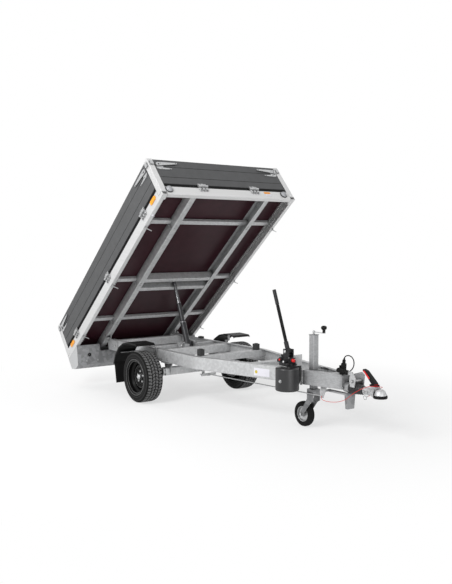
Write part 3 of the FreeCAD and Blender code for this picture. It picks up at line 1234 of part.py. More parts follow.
def build():
    left_beam = chassis_beam()
    add("beam_left", left_beam)
    add("beam_right", mirrored(left_beam))
    add("chassis_crossmembers", chassis_crossmembers())
    add("drawbar_nose", Part.makeCompound([drawbar_nose()] + mast_clamp()))
    arms = fender_arms()
    arms += [mirrored(a) for a in arms]
    add("chassis_brackets", Part.makeCompound([hinge_ears(), cylinder_cradle()] + arms))
    add("rest_pads", rest_pads())
    add("axle", axle())
    add("brake_linkage", Part.makeCompound([brake_linkage(), overrun_linkage()]))
    for side, word in ((1, "left"), (-1, "right")):
        add("tyre_" + word, tyre(side))
        add("rim_" + word, rim(side))
        add("hub_" + word, hub(side))
    add("fenders", pair(fender()))
    add("cylinder_barrel", barrel())
    for number in (1, 2):
        add("cylinder_stage_%d" % number, stage(number))
    add("cylinder_rod", stage(3))
    add("side_rails", side_rails())
    add("end_rails", end_rails())
    add("corner_posts", corner_posts())
    add("longerons", longerons())
    add("bed_crossrails", Part.makeCompound([bed_crossrails(), cylinder_beam()]))
    add("floor", floor())
    add("hinge_lugs", hinge_lugs())
    add("light_box", light_box())
    add("tail_lamps", tail_lamps())
    add("rail_fittings", rail_fittings())
    add("rim_seals", rim_seals())
    add("side_markers", side_markers())
    add("front_markers", front_markers())

    moving = hinge_leaf(False)
    left = side_panel()
    add("panel_left", tipped(left))
    add("panel_right", tipped(mirrored(left)))
    fittings = panel_face_fittings(SIDE_PANEL_LENGTH, to_left, [at_side(moving, u) for u in SIDE_HINGE_U])
    fittings = Part.makeCompound(fittings)
    add("latches_left", tipped(fittings))
    add("latches_right", tipped(mirrored(fittings)))
    end_piece = plank_panel(END_PANEL_LENGTH)
    add("panel_front", tipped(to_front(end_piece)))
    add("tailgate", tipped(to_rear(end_piece)))
    add("latches_front", tipped(Part.makeCompound(panel_face_fittings(
        END_PANEL_LENGTH, to_front, [at_front(moving, y) for y in END_HINGE_Y]))))
    add("latches_rear", tipped(Part.makeCompound(panel_face_fittings(
        END_PANEL_LENGTH, to_rear, [at_rear(moving, y) for y in END_HINGE_Y]))))

    add("pump_bracket", pump_bracket())
    add("pump_tank", pump_tank())
    add("pump_block", pump_block())
    add("pump_lever", pump_lever())
    add("jockey_mast", jockey_mast())
    add("jockey_crank", jockey_crank())
    add("jockey_leg", jockey_leg())
    add("jockey_tyre", jockey_tyre())
    add("jockey_rim", jockey_rim())
    add("overrun_housing", Part.makeCompound([overrun_housing(), coupling_tube()]))
    add("bellows", bellows())
    add("coupling_head", coupling_head())
    add("coupling_handle", coupling_handle())
    add("handbrake", handbrake())
    add("foot_plate", foot_plate())
    add("plug", plug())
    add("plug_cable", plug_cable())
    add("breakaway_cable", breakaway_cable())
    add("cable_clip", cable_clip())


def main():
    build()
    os.makedirs("parts", exist_ok=True)
    for name, shape in NODES.items():
        shape.exportStep(os.path.join("parts", name + ".step"))


main()
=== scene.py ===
"""Looks for the tipping trailer: materials, small details, light and camera. Metres, +X forwards, +Z up."""

import bpy
import bmesh
import json
import math
from mathutils import Matrix, Vector


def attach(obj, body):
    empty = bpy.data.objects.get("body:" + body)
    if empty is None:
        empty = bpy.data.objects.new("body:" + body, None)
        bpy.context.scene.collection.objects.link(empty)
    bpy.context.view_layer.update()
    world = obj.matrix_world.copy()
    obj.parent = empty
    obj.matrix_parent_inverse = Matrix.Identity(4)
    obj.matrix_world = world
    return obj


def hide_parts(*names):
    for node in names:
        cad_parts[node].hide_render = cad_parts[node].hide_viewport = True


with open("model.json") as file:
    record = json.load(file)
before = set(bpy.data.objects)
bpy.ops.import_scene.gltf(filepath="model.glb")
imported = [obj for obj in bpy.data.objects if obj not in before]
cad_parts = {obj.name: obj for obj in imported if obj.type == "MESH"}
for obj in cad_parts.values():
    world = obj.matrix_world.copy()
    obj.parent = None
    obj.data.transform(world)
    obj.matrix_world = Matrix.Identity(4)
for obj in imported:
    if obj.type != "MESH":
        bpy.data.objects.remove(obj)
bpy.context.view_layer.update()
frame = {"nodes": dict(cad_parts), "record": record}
NODES = frame["nodes"]

# Places and sizes, as in the part's source
AXLE_X = -0.525
HINGE_X = AXLE_X - 1.060
HINGE_Z = 0.541
TILT = math.radians(40.2)
U_REAR, U_FRONT = -0.416, 2.364
V_RAIL, V_RAIL_TOP, V_POST_TOP = 0.022, 0.124, 0.483
V_PANEL = V_RAIL_TOP + 0.039
HALF_BED = 0.810
TYRE_R, HALF_TRACK, TYRE_W = 0.2625, 0.621, 0.196
CHASSIS_TOP, CHASSIS_BOTTOM = 0.535, 0.410
BEAM_Y, NOSE_Y, V_LENGTH = 0.450, 0.052, 1.600
V_ANGLE = math.atan2(BEAM_Y - NOSE_Y, V_LENGTH)
BEND_X = AXLE_X + 0.700
NOSE_FRONT_X, MAST_X = AXLE_X + 2.300, AXLE_X + 1.905
BALL_X, COUPLING_Z = AXLE_X + 2.680, 0.430
JOCKEY_TRAIL, JOCKEY_RADIUS, JOCKEY_AXLE_END = 0.118, 0.112, 0.0470
PUMP = Vector((AXLE_X + 1.880, -0.283, 0.0))
FORWARD, NEAR, UP = (1, 0, 0), (0, -1, 0), (0, 0, 1)

# From the level bed, hinge at the origin, to the raised bed
BED = Matrix.Translation((HINGE_X, 0, HINGE_Z)) @ Matrix.Rotation(-TILT, 4, "Y")


# Materials

MOTTLE_STOPS = (0.3, 0.7)
BUMP_DEPTH = 0.002
# Painted shade in corners: the colour is multiplied towards this grey as the occlusion falls over this range
CORNER_SHADE_GREY = (0.10, 0.10, 0.10, 1)
CORNER_SHADE_RANGE = (1.0, 0.25)


def make_node(nodes, kind, **settings):
    made = nodes.new("ShaderNode" + kind)
    for key, value in settings.items():
        setattr(made, key, value)
    return made


def set_inputs(made, values):
    for socket, value in values.items():
        made.inputs[socket].default_value = value


def add_mottle(nodes, links, bsdf, vector, colour, mottle, scale, kind):
    """Varies the colour by cells or by noise, and gives the pattern's value."""
    if kind == "cells":
        tex = make_node(nodes, "TexVoronoi")
        grey = make_node(nodes, "SeparateColor")
        links.new(tex.outputs["Color"], grey.inputs["Color"])
        value = grey.outputs[0]
    else:
        tex = make_node(nodes, "TexNoise")
        set_inputs(tex, {"Detail": 4.0})
        value = tex.outputs["Fac"]
    set_inputs(tex, {"Scale": scale})
    links.new(vector, tex.inputs["Vector"])
    ramp = make_node(nodes, "ValToRGB")
    for stop, position, share in zip(ramp.color_ramp.elements, MOTTLE_STOPS, (1 - mottle, 1 + mottle)):
        stop.color = (*[min(1.0, c * share) for c in colour], 1)
        stop.position = position
    links.new(value, ramp.inputs["Fac"])
    links.new(ramp.outputs["Color"], bsdf.inputs["Base Color"])
    return value


def add_roughness_spread(nodes, links, bsdf, value, roughness, spread):
    """Varies the roughness with the pattern."""
    rough = make_node(nodes, "MapRange")
    set_inputs(rough, {"To Min": roughness - spread, "To Max": roughness + spread})
    links.new(value, rough.inputs["Value"])
    links.new(rough.outputs["Result"], bsdf.inputs["Roughness"])


def add_painted_corner_shade(nodes, links, bsdf, corner_shade, reach):
    """Paints shade into the colour in corners, up to reach away from the next face."""
    corners = make_node(nodes, "AmbientOcclusion", samples=8)
    set_inputs(corners, {"Distance": reach})
    closed = make_node(nodes, "MapRange")
    set_inputs(closed, {"From Min": CORNER_SHADE_RANGE[0], "From Max": CORNER_SHADE_RANGE[1], "To Max": corner_shade})
    links.new(corners.outputs["AO"], closed.inputs["Value"])
    mix = make_node(nodes, "Mix", data_type="RGBA", blend_type="MULTIPLY")
    set_inputs(mix, {"B": CORNER_SHADE_GREY})
    base = bsdf.inputs["Base Color"]
    links.new(closed.outputs["Result"], mix.inputs["Factor"])
    links.new(base.links[0].from_socket, mix.inputs["A"])
    links.new(mix.outputs["Result"], base)


def soft_edges(nodes, radius):
    """A normal that rounds the edges softly."""
    rounded = make_node(nodes, "Bevel", samples=4)
    set_inputs(rounded, {"Radius": radius})
    return rounded.outputs["Normal"]


def fine_bump(nodes, links, vector, normal, strength, scale):
    fine = make_node(nodes, "TexNoise")
    set_inputs(fine, {"Scale": scale, "Detail": 3.0})
    links.new(vector, fine.inputs["Vector"])
    bumped = make_node(nodes, "Bump")
    set_inputs(bumped, {"Strength": strength, "Distance": BUMP_DEPTH})
    links.new(fine.outputs["Fac"], bumped.inputs["Height"])
    if normal:
        links.new(normal, bumped.inputs["Normal"])
    return bumped.outputs["Normal"]


def material(name, colour, metallic, roughness, mottle, mottle_scale, bump=0.0, bump_scale=200.0, coat=0.0,
             kind="noise", streak=(1, 1, 1), edge=0.0, spread=0.0, shine=0.5, corner_shade=0.0, reach=0.06):
    """A principled material with a mottled colour, painted shade in the corners, a fine bump and softly rounded edges.
    """
    mat = bpy.data.materials.new(name)
    mat.use_nodes = True
    nodes, links = mat.node_tree.nodes, mat.node_tree.links
    bsdf = nodes["Principled BSDF"]
    set_inputs(bsdf, {"Base Color": (*colour, 1), "Metallic": metallic, "Roughness": roughness, "Coat Weight": coat,
                      "Specular IOR Level": shine})
    coords = make_node(nodes, "TexCoord")
    scale = make_node(nodes, "Mapping")
    set_inputs(scale, {"Scale": streak})
    links.new(coords.outputs["Object"], scale.inputs["Vector"])
    vector = scale.outputs["Vector"]
    value = add_mottle(nodes, links, bsdf, vector, colour, mottle, mottle_scale, kind)
    if spread:
        add_roughness_spread(nodes, links, bsdf, value, roughness, spread)
    # Painted shade in the corners
    if corner_shade:
        add_painted_corner_shade(nodes, links, bsdf, corner_shade, reach)
    normal = soft_edges(nodes, edge) if edge else None
    if bump:
        normal = fine_bump(nodes, links, vector, normal, bump, bump_scale)
    if normal:
        links.new(normal, bsdf.inputs["Normal"])
    return mat


GALVANISED = material("galvanised", (0.50, 0.505, 0.51), 0.50, 0.46, mottle=0.07, mottle_scale=45, kind="cells",
                      bump=0.04, bump_scale=60, edge=0.003, spread=0.04, corner_shade=0.9)
ALUMINIUM = material("bright_aluminium", (0.66, 0.66, 0.66), 0.50, 0.38, mottle=0.05, mottle_scale=30,
                     streak=(0.2, 6, 6), edge=0.002, corner_shade=0.85, reach=0.03)
PLANKS = material("grey_planks", (0.085, 0.086, 0.088), 0.10, 0.50, mottle=0.06, mottle_scale=14, bump=0.03,
                  bump_scale=400, edge=0.0012, shine=0.25)
FILM_PLY = material("film_ply", (0.030, 0.009, 0.013), 0.0, 0.36, mottle=0.14, mottle_scale=9, shine=0.14)
ZINC = material("zinc", (0.52, 0.525, 0.53), 0.75, 0.32, mottle=0.16, mottle_scale=110, edge=0.0015,
                corner_shade=0.9, reach=0.02)
BLACK_PAINT = material("black_paint", (0.010, 0.010, 0.011), 0.0, 0.42, mottle=0.2, mottle_scale=40, edge=0.0015,
                       shine=0.30)
RIM_BLACK = material("rim_black", (0.005, 0.005, 0.005), 0.0, 0.30, mottle=0.1, mottle_scale=30, edge=0.001,
                     shine=0.12)
TYRE = material("tyre", (0.010, 0.010, 0.010), 0.0, 0.75, mottle=0.2, mottle_scale=50, bump=0.1, bump_scale=300,
                shine=0.12)
RUBBER = material("rubber", (0.007, 0.007, 0.007), 0.0, 0.65, mottle=0.15, mottle_scale=60, shine=0.12)
PLASTIC = material("black_plastic", (0.007, 0.007, 0.007), 0.0, 0.50, mottle=0.15, mottle_scale=60, bump=0.06,
                   bump_scale=700, edge=0.001, shine=0.15)
AMBER = material("amber_lens", (0.95, 0.36, 0.02), 0.0, 0.30, mottle=0.10, mottle_scale=300, shine=0.3)
WHITE = material("white_lens", (0.34, 0.345, 0.36), 0.0, 0.25, mottle=0.10, mottle_scale=120, shine=0.4)
RED_LENS = material("red_lens", (0.50, 0.012, 0.01), 0.0, 0.22, mottle=0.1, mottle_scale=200, coat=0.3)
RED = material("red_plastic", (0.60, 0.02, 0.02), 0.0, 0.4, mottle=0.08, mottle_scale=80, shine=0.3)
RAM = material("ram", (0.022, 0.022, 0.024), 0.30, 0.30, mottle=0.2, mottle_scale=25, shine=0.35)
CHROME = material("rod", (0.13, 0.13, 0.135), 0.85, 0.26, mottle=0.2, mottle_scale=60)
LABEL = material("label", (0.74, 0.73, 0.78), 0.0, 0.50, mottle=0.03, mottle_scale=90, shine=0.3)
YELLOW = material("label_yellow", (0.55, 0.44, 0.05), 0.0, 0.50, mottle=0.05, mottle_scale=90, shine=0.3)
ORANGE = material("label_orange", (0.85, 0.33, 0.04), 0.0, 0.50, mottle=0.05, mottle_scale=90, shine=0.3)
SATIN_BLACK = material("satin_black", (0.010, 0.010, 0.011), 0.0, 0.36, mottle=0.15, mottle_scale=60, bump=0.05,
                       bump_scale=500, edge=0.001, shine=0.6)
# Lighter grey than the rims: painted highlight on their pressed edges
RIM_HIGHLIGHT = material("rim_highlight", (0.10, 0.10, 0.10), 0.2, 0.35, mottle=0.1, mottle_scale=40, shine=0.4)
GREY_RUBBER = material("grey_rubber", (0.045, 0.045, 0.046), 0.0, 0.6, mottle=0.15, mottle_scale=60, edge=0.002,
                       shine=0.15)
NOSE_GALVANISED = material("nose_galvanised", (0.37, 0.374, 0.38), 0.50, 0.46, mottle=0.10, mottle_scale=60,
                           kind="cells", streak=(1, 1, 3), bump=0.05, bump_scale=70, edge=0.003, spread=0.04, corner_shade=0.9)
# Galvanising painted darker as shade, for the light box under the bed and the jockey wheel's leg and foot plate
SHADED_GALVANISED = material("shaded_galvanised", (0.27, 0.273, 0.28), 0.50, 0.50, mottle=0.16, mottle_scale=30,
                           kind="cells", bump=0.05, bump_scale=60, edge=0.003, spread=0.05, corner_shade=0.9)
# A lighter copy of the galvanising with less painted corner shade: painted light on the beams, the cross rails and the
# cross members
LIT_GALVANISED = material("lit_galvanised", (0.52, 0.525, 0.53), 0.50, 0.46, mottle=0.07, mottle_scale=45,
                           kind="cells", bump=0.04, bump_scale=60, edge=0.003, spread=0.04, corner_shade=0.35)
COUPLING_ZINC = material("coupling_zinc", (0.50, 0.505, 0.51), 0.55, 0.50, mottle=0.26, mottle_scale=75, bump=0.05,
                         bump_scale=90, edge=0.0015, spread=0.06, corner_shade=0.9, reach=0.02)


def with_painted_lit_ends(mat, colour, limit=0.9):
    """A copy of a material with painted light: brighter on the faces across the vehicle."""
    copy = mat.copy()
    copy.name = mat.name + "_painted_lit_ends"
    nodes, links = copy.node_tree.nodes, copy.node_tree.links
    base = nodes["Principled BSDF"].inputs["Base Color"]
    coords = make_node(nodes, "TexCoord")
    parts = make_node(nodes, "SeparateXYZ")
    size = make_node(nodes, "Math", operation="ABSOLUTE")
    across = make_node(nodes, "Math", operation="GREATER_THAN")
    across.inputs[1].default_value = limit
    mix = make_node(nodes, "Mix", data_type="RGBA")
    set_inputs(mix, {"B": (*colour, 1)})
    links.new(coords.outputs["Normal"], parts.inputs[0])
    links.new(parts.outputs["Y"], size.inputs[0])
    links.new(size.outputs[0], across.inputs[0])
    links.new(across.outputs[0], mix.inputs["Factor"])
    links.new(base.links[0].from_socket, mix.inputs["A"])
    links.new(mix.outputs["Result"], base)
    return copy


BY_SLOT = {
    "galvanised": GALVANISED, "bright_aluminium": ALUMINIUM, "grey_planks": PLANKS, "film_ply": FILM_PLY, "zinc": ZINC,
    "black_paint": BLACK_PAINT, "rim_black": RIM_BLACK, "tyre": TYRE, "rubber": RUBBER, "black_plastic": PLASTIC,
    "amber_lens": AMBER, "white_lens": WHITE, "red_lens": RED_LENS, "red_plastic": RED, "ram": RAM, "rod": CHROME,
}
for part in frame["record"]["subparts"]:
    node = NODES[part["node"]]
    node.data.materials.clear()
    node.data.materials.append(BY_SLOT[part["material_slot"]])
BY_NODE = {
    "pump_tank": SATIN_BLACK, "bellows": SATIN_BLACK, "rest_pads": GREY_RUBBER, "coupling_head": COUPLING_ZINC,
    # The light box: painted shade over all, painted light on its end faces
    "light_box": with_painted_lit_ends(SHADED_GALVANISED, (0.55, 0.555, 0.56)),
    "jockey_leg": SHADED_GALVANISED, "foot_plate": SHADED_GALVANISED,
    "drawbar_nose": NOSE_GALVANISED, "jockey_mast": NOSE_GALVANISED, "overrun_housing": NOSE_GALVANISED,
    "beam_left": LIT_GALVANISED, "beam_right": LIT_GALVANISED, "bed_crossrails": LIT_GALVANISED,
    "chassis_crossmembers": LIT_GALVANISED,
}
for name, mat in BY_NODE.items():
    NODES[name].data.materials[0] = mat


# The tyres' rubber

# Painted light and shade: paler rings for highlights on the walls, dark bands for shade in the grooves, a pale top for
# light on the tread
TYRE_PAINTED_LIGHT_BANDS = (
    # radius from the axle, grey
    (0.168, 0.007), (0.174, 0.030), (0.178, 0.008), (0.200, 0.010), (0.206, 0.034), (0.210, 0.010), (0.232, 0.012),
    (0.237, 0.038), (0.242, 0.014), (0.2535, 0.003), (0.2575, 0.003), (0.2583, 0.120),
)
TREAD_TOP = 0.2700


def painted_light_tread_material():
    """The tyre's rubber with painted highlights as paler rings on its walls, and tread blocks painted lighter as lit
    above grooves painted dark as shade.
    """
    mat = TYRE.copy()
    mat.name = "tyre_tread"
    nodes, links = mat.node_tree.nodes, mat.node_tree.links
    coords = make_node(nodes, "TexCoord")
    offset = make_node(nodes, "VectorMath", operation="SUBTRACT")
    offset.inputs[1].default_value = (AXLE_X, 0, TYRE_R)
    flat = make_node(nodes, "VectorMath", operation="MULTIPLY")
    flat.inputs[1].default_value = (1, 0, 1)
    radius = make_node(nodes, "VectorMath", operation="LENGTH")
    share = make_node(nodes, "Math", operation="DIVIDE")
    share.inputs[1].default_value = TREAD_TOP
    ramp = make_node(nodes, "ValToRGB")
    bands = ramp.color_ramp.elements
    for i, (r, grey) in enumerate(TYRE_PAINTED_LIGHT_BANDS):
        band = bands[i] if i < 2 else bands.new(r / TREAD_TOP)
        band.position = r / TREAD_TOP
        band.color = (grey, grey, grey, 1)
    links.new(coords.outputs["Object"], offset.inputs[0])
    links.new(offset.outputs[0], flat.inputs[0])
    links.new(flat.outputs[0], radius.inputs[0])
    links.new(radius.outputs["Value"], share.inputs[0])
    links.new(share.outputs[0], ramp.inputs["Fac"])
    links.new(ramp.outputs["Color"], nodes["Principled BSDF"].inputs["Base Color"])
    return mat


TREAD = painted_light_tread_material()


# Pieces


def finish_piece(obj, mat, body):
    obj.data.materials.append(mat)
    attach(obj, body)
    return obj


def mesh_piece(name, bm, mat, body):
    mesh = bpy.data.meshes.new(name)
    bm.to_mesh(mesh)
    bm.free()
    obj = bpy.data.objects.new(name, mesh)
    bpy.context.scene.collection.objects.link(obj)
    return finish_piece(obj, mat, body)


# Free cords

BREAKAWAY_ROUTE = (
    (1.551, -0.0678, 0.322), (1.564, -0.086, 0.309), (1.597, -0.090, 0.296), (1.635, -0.086, 0.293),
    (1.672, -0.083, 0.294), (1.707, -0.080, 0.298), (1.743, -0.079, 0.304), (1.777, -0.078, 0.313),
    (1.811, -0.077, 0.325), (1.843, -0.076, 0.341), (1.872, -0.075, 0.361), (1.900, -0.074, 0.383),
    (1.929, -0.073, 0.404), (1.960, -0.071, 0.423), (1.990, -0.068, 0.441), (2.022, -0.065, 0.458),
    (2.055, -0.062, 0.473), (2.088, -0.060, 0.485), (2.123, -0.052, 0.490), (2.149, -0.032, 0.489),
    (2.160, -0.002, 0.485), (2.151, 0.029, 0.479), (2.128, 0.051, 0.469), (2.099, 0.062, 0.455),
    (2.072, 0.065, 0.437), (2.046, 0.065, 0.419), (2.020, 0.063, 0.401), (1.994, 0.061, 0.385),
    (1.967, 0.059, 0.371),
)
PLUG_ROUTE = (
    (1.759, -0.006, 0.6685), (1.769, -0.005, 0.684), (1.791, -0.002, 0.694), (1.819, 0.003, 0.693),
    (1.843, 0.008, 0.676), (1.852, 0.013, 0.648), (1.847, 0.018, 0.620), (1.833, 0.023, 0.595),
    (1.812, 0.027, 0.573), (1.787, 0.030, 0.556), (1.761, 0.030, 0.543),
)


def cord_piece(name, route, diameter, mat, **facts):
    curve = bpy.data.curves.new(name, "CURVE")
    curve.dimensions = "3D"
    curve.bevel_depth = diameter / 2
    curve.bevel_resolution = 4
    curve.resolution_u = 8
    curve.use_fill_caps = True
    spline = curve.splines.new("NURBS")
    spline.points.add(len(route) - 1)
    for point, place in zip(spline.points, route):
        point.co = (*place, 1.0)
    spline.order_u = 3
    spline.use_endpoint_u = True
    obj = bpy.data.objects.new(name, curve)
    bpy.context.scene.collection.objects.link(obj)
    finish_piece(obj, mat, "chassis")
    return obj


red_wire = cord_piece("breakaway_wire", BREAKAWAY_ROUTE, 0.004, RED, length=0.955, far_end="fitting",
                      stiffness="medium", lay="hanging", with_pieces=[NODES["cable_clip"]])
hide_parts("breakaway_cable")
plug_wire = cord_piece("plug_wire", PLUG_ROUTE, 0.009, RUBBER, length=0.276, far_end="object",
                       stiffness="medium", lay="loose")
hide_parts("plug_cable")


# Small solids gathered into one mesh

WASHER_SHARE, WASHER_THICKNESS = 1.45, 0.0015
DOME_STEPS = 5


def frame_at(centre, axis):
    """A matrix whose Z lies along axis."""
    z = Vector(axis).normalized()
    x = Vector(UP).cross(z)
    if x.length < 1e-4:
        x = Vector((1, 0, 0)).cross(z)
    x.normalize()
    return Matrix.Translation(centre) @ Matrix((x, z.cross(x), z)).transposed().to_4x4()


def add_box(bm, low, high, matrix=Matrix()):
    size = [h - l for l, h in zip(low, high)]
    middle = [(h + l) / 2 for l, h in zip(low, high)]
    bmesh.ops.create_cube(bm, size=1.0, matrix=matrix @ Matrix.Translation(middle) @ Matrix.Diagonal((*size, 1)))


def add_lathe(bm, profile, matrix, segments):
    """Turns (radius, height) points about the matrix's Z."""
    rings = []
    for r, h in profile:
        if r < 1e-6:
            rings.append([bm.verts.new(matrix @ Vector((0, 0, h)))])
        else:
            rings.append([bm.verts.new(matrix @ Vector((r * math.cos(2 * math.pi * i / segments),
                                                        r * math.sin(2 * math.pi * i / segments), h)))
                          for i in range(segments)])
    for a, b in zip(rings, rings[1:]):
        for i in range(segments):
            j = (i + 1) % segments
            if len(a) == 1 and len(b) == 1:
                continue
            if len(a) == 1:
                bm.faces.new((a[0], b[i], b[j]))
            elif len(b) == 1:
                bm.faces.new((a[i], b[0], a[j]))
            else:
                bm.faces.new((a[i], b[i], b[j], a[j]))


def join_rings(bm, rings):
    """Faces between closed rings of points, from each ring to the next and back to the first."""
    for a, b in zip(rings, rings[1:] + rings[:1]):
        for j in range(len(a)):
            k = (j + 1) % len(a)
            bm.faces.new((a[j], a[k], b[k], b[j]))


def add_ring(bm, loop, matrix, segments):
    """Turns a closed loop of (radius, height) points about the matrix's Z."""
    turns = []
    for i in range(segments):
        a = 2 * math.pi * i / segments
        turns.append([bm.verts.new(matrix @ Vector((r * math.cos(a), r * math.sin(a), h))) for r, h in loop])
    join_rings(bm, turns)


def add_bolt(bm, centre, axis, radius, height, washer=True):
    """A hexagon head, on a washer or bare."""
    place = frame_at(centre, axis)
    rim = radius * WASHER_SHARE
    if washer:
        add_lathe(bm, [(0, 0), (rim, 0), (rim, WASHER_THICKNESS), (0, WASHER_THICKNESS)], place, 16)
    add_lathe(bm, [(radius, 0), (radius, height * 0.8), (radius * 0.82, height), (0, height)], place, 6)


def add_dome(bm, centre, axis, radius, height, segments):
    """A rounded rivet head."""
    angles = [math.pi / 2 * i / DOME_STEPS for i in range(DOME_STEPS)]
    profile = [(radius * math.cos(a), height * math.sin(a)) for a in angles] + [(0, height)]
    add_lathe(bm, profile, frame_at(centre, axis), segments)


def gather(name, mat, body, build, matrix=None):
    """Makes one piece of all that build adds, moved by matrix."""
    bm = bmesh.new()
    build(bm)
    if matrix:
        bm.transform(matrix)
    bmesh.ops.recalc_face_normals(bm, faces=bm.faces)
    return mesh_piece(name, bm, mat, body)


# Tyres with their tread

TREAD_RINGS = (-0.036, 0.0, 0.036)
RING_HALF, RING_DEPTH, ZIGZAG, ZIGZAGS = 0.0052, 0.0080, 0.004, 36
CUTS_AROUND, CUT_SHARE, CUT_DEPTH = 48, 0.26, 0.0065
INNER_SLANT, OUTER_SLANT = 16.0, -7.0
BEAD_R, LINER_R = 0.168, 0.238
TREAD_EDGE = TYRE_W / 2 - 0.020
SHOULDER_DROP = 0.004
CELLS_ACROSS, CELLS_AROUND = 44, 288
WALL = (
    # radius, distance in from the tyre's side
    (BEAD_R, 0.022), (0.192, 0.006), (0.205, 0.001), (0.222, 0.0), (0.236, 0.003), (0.246, 0.008), (0.254, 0.014),
)


def tread_depth(angle, y):
    """Groove depth at an angle and a distance across the tread: zigzag rings and slanted cuts."""
    wave = ZIGZAG * abs(((angle * ZIGZAGS / math.pi) % 2.0) - 1.0)
    for middle in TREAD_RINGS:
        if abs(y - middle - wave + ZIGZAG / 2) < RING_HALF:
            return RING_DEPTH
    slant = INNER_SLANT if abs(y) < TREAD_RINGS[-1] else OUTER_SLANT
    phase = (angle * CUTS_AROUND / (2 * math.pi) + y * slant * (1 if y > 0 else -1)) % 1.0
    if phase < CUT_SHARE and abs(y) > 0.004:
        return CUT_DEPTH
    return 0.0


def tyre_profile():
    """(radius, distance across, whether it has tread), once round the tyre's section."""
    half = TYRE_W / 2
    across = [-TREAD_EDGE + 2 * TREAD_EDGE * i / CELLS_ACROSS for i in range(CELLS_ACROSS + 1)]
    profile = [(r, deep - half, False) for r, deep in WALL]
    profile += [(TYRE_R - SHOULDER_DROP * (abs(y) / TREAD_EDGE) ** 6, y, True) for y in across]
    profile += [(r, half - deep, False) for r, deep in reversed(WALL)]
    return profile + [(LINER_R, half - 0.026, False), (LINER_R, 0.026 - half, False)]


def tyre_piece(name, y_middle, node, body):
    profile = tyre_profile()
    bm = bmesh.new()
    rings = []
    for i in range(CELLS_AROUND):
        angle = 2 * math.pi * i / CELLS_AROUND
        ring = []
        for r, y, treaded in profile:
            if treaded:
                r -= tread_depth(angle, y)
            ring.append(bm.verts.new((AXLE_X + r * math.cos(angle), y_middle + y, TYRE_R + r * math.sin(angle))))
        rings.append(ring)
    join_rings(bm, rings)
    bmesh.ops.recalc_face_normals(bm, faces=bm.faces)
    obj = mesh_piece(name, bm, TREAD, body)
    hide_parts(node)
    return obj


for side, word in ((1, "left"), (-1, "right")):
    tyre_piece("tyre_tread_" + word, side * HALF_TRACK, "tyre_" + word, "wheel_" + word)


# Helpers for the details


def add_plate(bm, points, y0, y1, matrix=Matrix()):
    """A flat outline of (x, z) points, from y0 to y1."""
    near = [bm.verts.new(matrix @ Vector((x, y0, z))) for x, z in points]
    far = [bm.verts.new(matrix @ Vector((x, y1, z))) for x, z in points]
    bm.faces.new(near)
    bm.faces.new(list(reversed(far)))
    for i in range(len(points)):
        j = (i + 1) % len(points)
        bm.faces.new((near[i], far[i], far[j], near[j]))


def near_beam_face():
    """On the near beam's outer face ahead of the bend: X along the beam from the bend, Z up, outside towards -Y."""
    along = Vector((math.cos(V_ANGLE), math.sin(V_ANGLE), 0))
    up = Vector(UP)
    rows = Matrix((along, up.cross(along), up))
    return Matrix.Translation((BEND_X, -BEAM_Y, 0)) @ rows.transposed().to_4x4()


NEAR_BEAM = near_beam_face()


# Rings on the rims' pressed edges, coloured lighter than the rim as a painted highlight

RIM_HIGHLIGHT_RINGS = (
    # inner and outer radius, distance out from the wheel's middle
    (0.1810, 0.1868, 0.0935), (0.1605, 0.1640, 0.0830), (0.1095, 0.1135, 0.0325), (0.0785, 0.0815, 0.0165),
)


def rim_highlight_rings(side):
    def build(bm):
        place = frame_at((AXLE_X, side * HALF_TRACK, TYRE_R), (0, side, 0))
        for inner, outer, out in RIM_HIGHLIGHT_RINGS:
            add_ring(bm, [(inner, out - 0.0012), (outer, out - 0.0012), (outer - 0.0008, out), (inner + 0.0008, out)],
                     place, 64)
    return build


for side, word in ((1, "left"), (-1, "right")):
    gather("rim_highlight_rings_" + word, RIM_HIGHLIGHT, "wheel_" + word, rim_highlight_rings(side))


# Labels and stickers, all blank

LABEL_ALONG, LABEL_Z, LABEL_THICKNESS = (0.730, 0.905), (0.432, 0.502), 0.0008
DOT_ALONG, DOT_Z, DOT_RADIUS = 0.756, 0.466, 0.015
STICKER_OUT = (0.0001, 0.0007)


def beam_label(bm):
    add_box(bm, (LABEL_ALONG[0], -LABEL_THICKNESS, LABEL_Z[0]), (LABEL_ALONG[1], -0.0001, LABEL_Z[1]), NEAR_BEAM)


def label_dot(bm):
    centre = NEAR_BEAM @ Vector((DOT_ALONG, -LABEL_THICKNESS, DOT_Z))
    outward = NEAR_BEAM.to_3x3() @ Vector(NEAR)
    add_lathe(bm, [(0, 0), (DOT_RADIUS, 0), (DOT_RADIUS, 0.0006), (0, 0.0006)], frame_at(centre, outward), 24)


def front_sticker(y0, y1, v0, v1):
    """A sticker on the outer face of the bed's front rail."""
    return lambda bm: add_box(bm, (U_FRONT + STICKER_OUT[0], y0, v0), (U_FRONT + STICKER_OUT[1], y1, v1))


gather("beam_label", LABEL, "chassis", beam_label)
gather("beam_label_dot", YELLOW, "chassis", label_dot)
gather("front_sticker_white", LABEL, "bed", front_sticker(0.437, 0.515, 0.058, 0.086), matrix=BED)
gather("front_sticker_orange", ORANGE, "bed", front_sticker(0.430, 0.508, 0.0865, 0.112), matrix=BED)


# Tipping cylinder

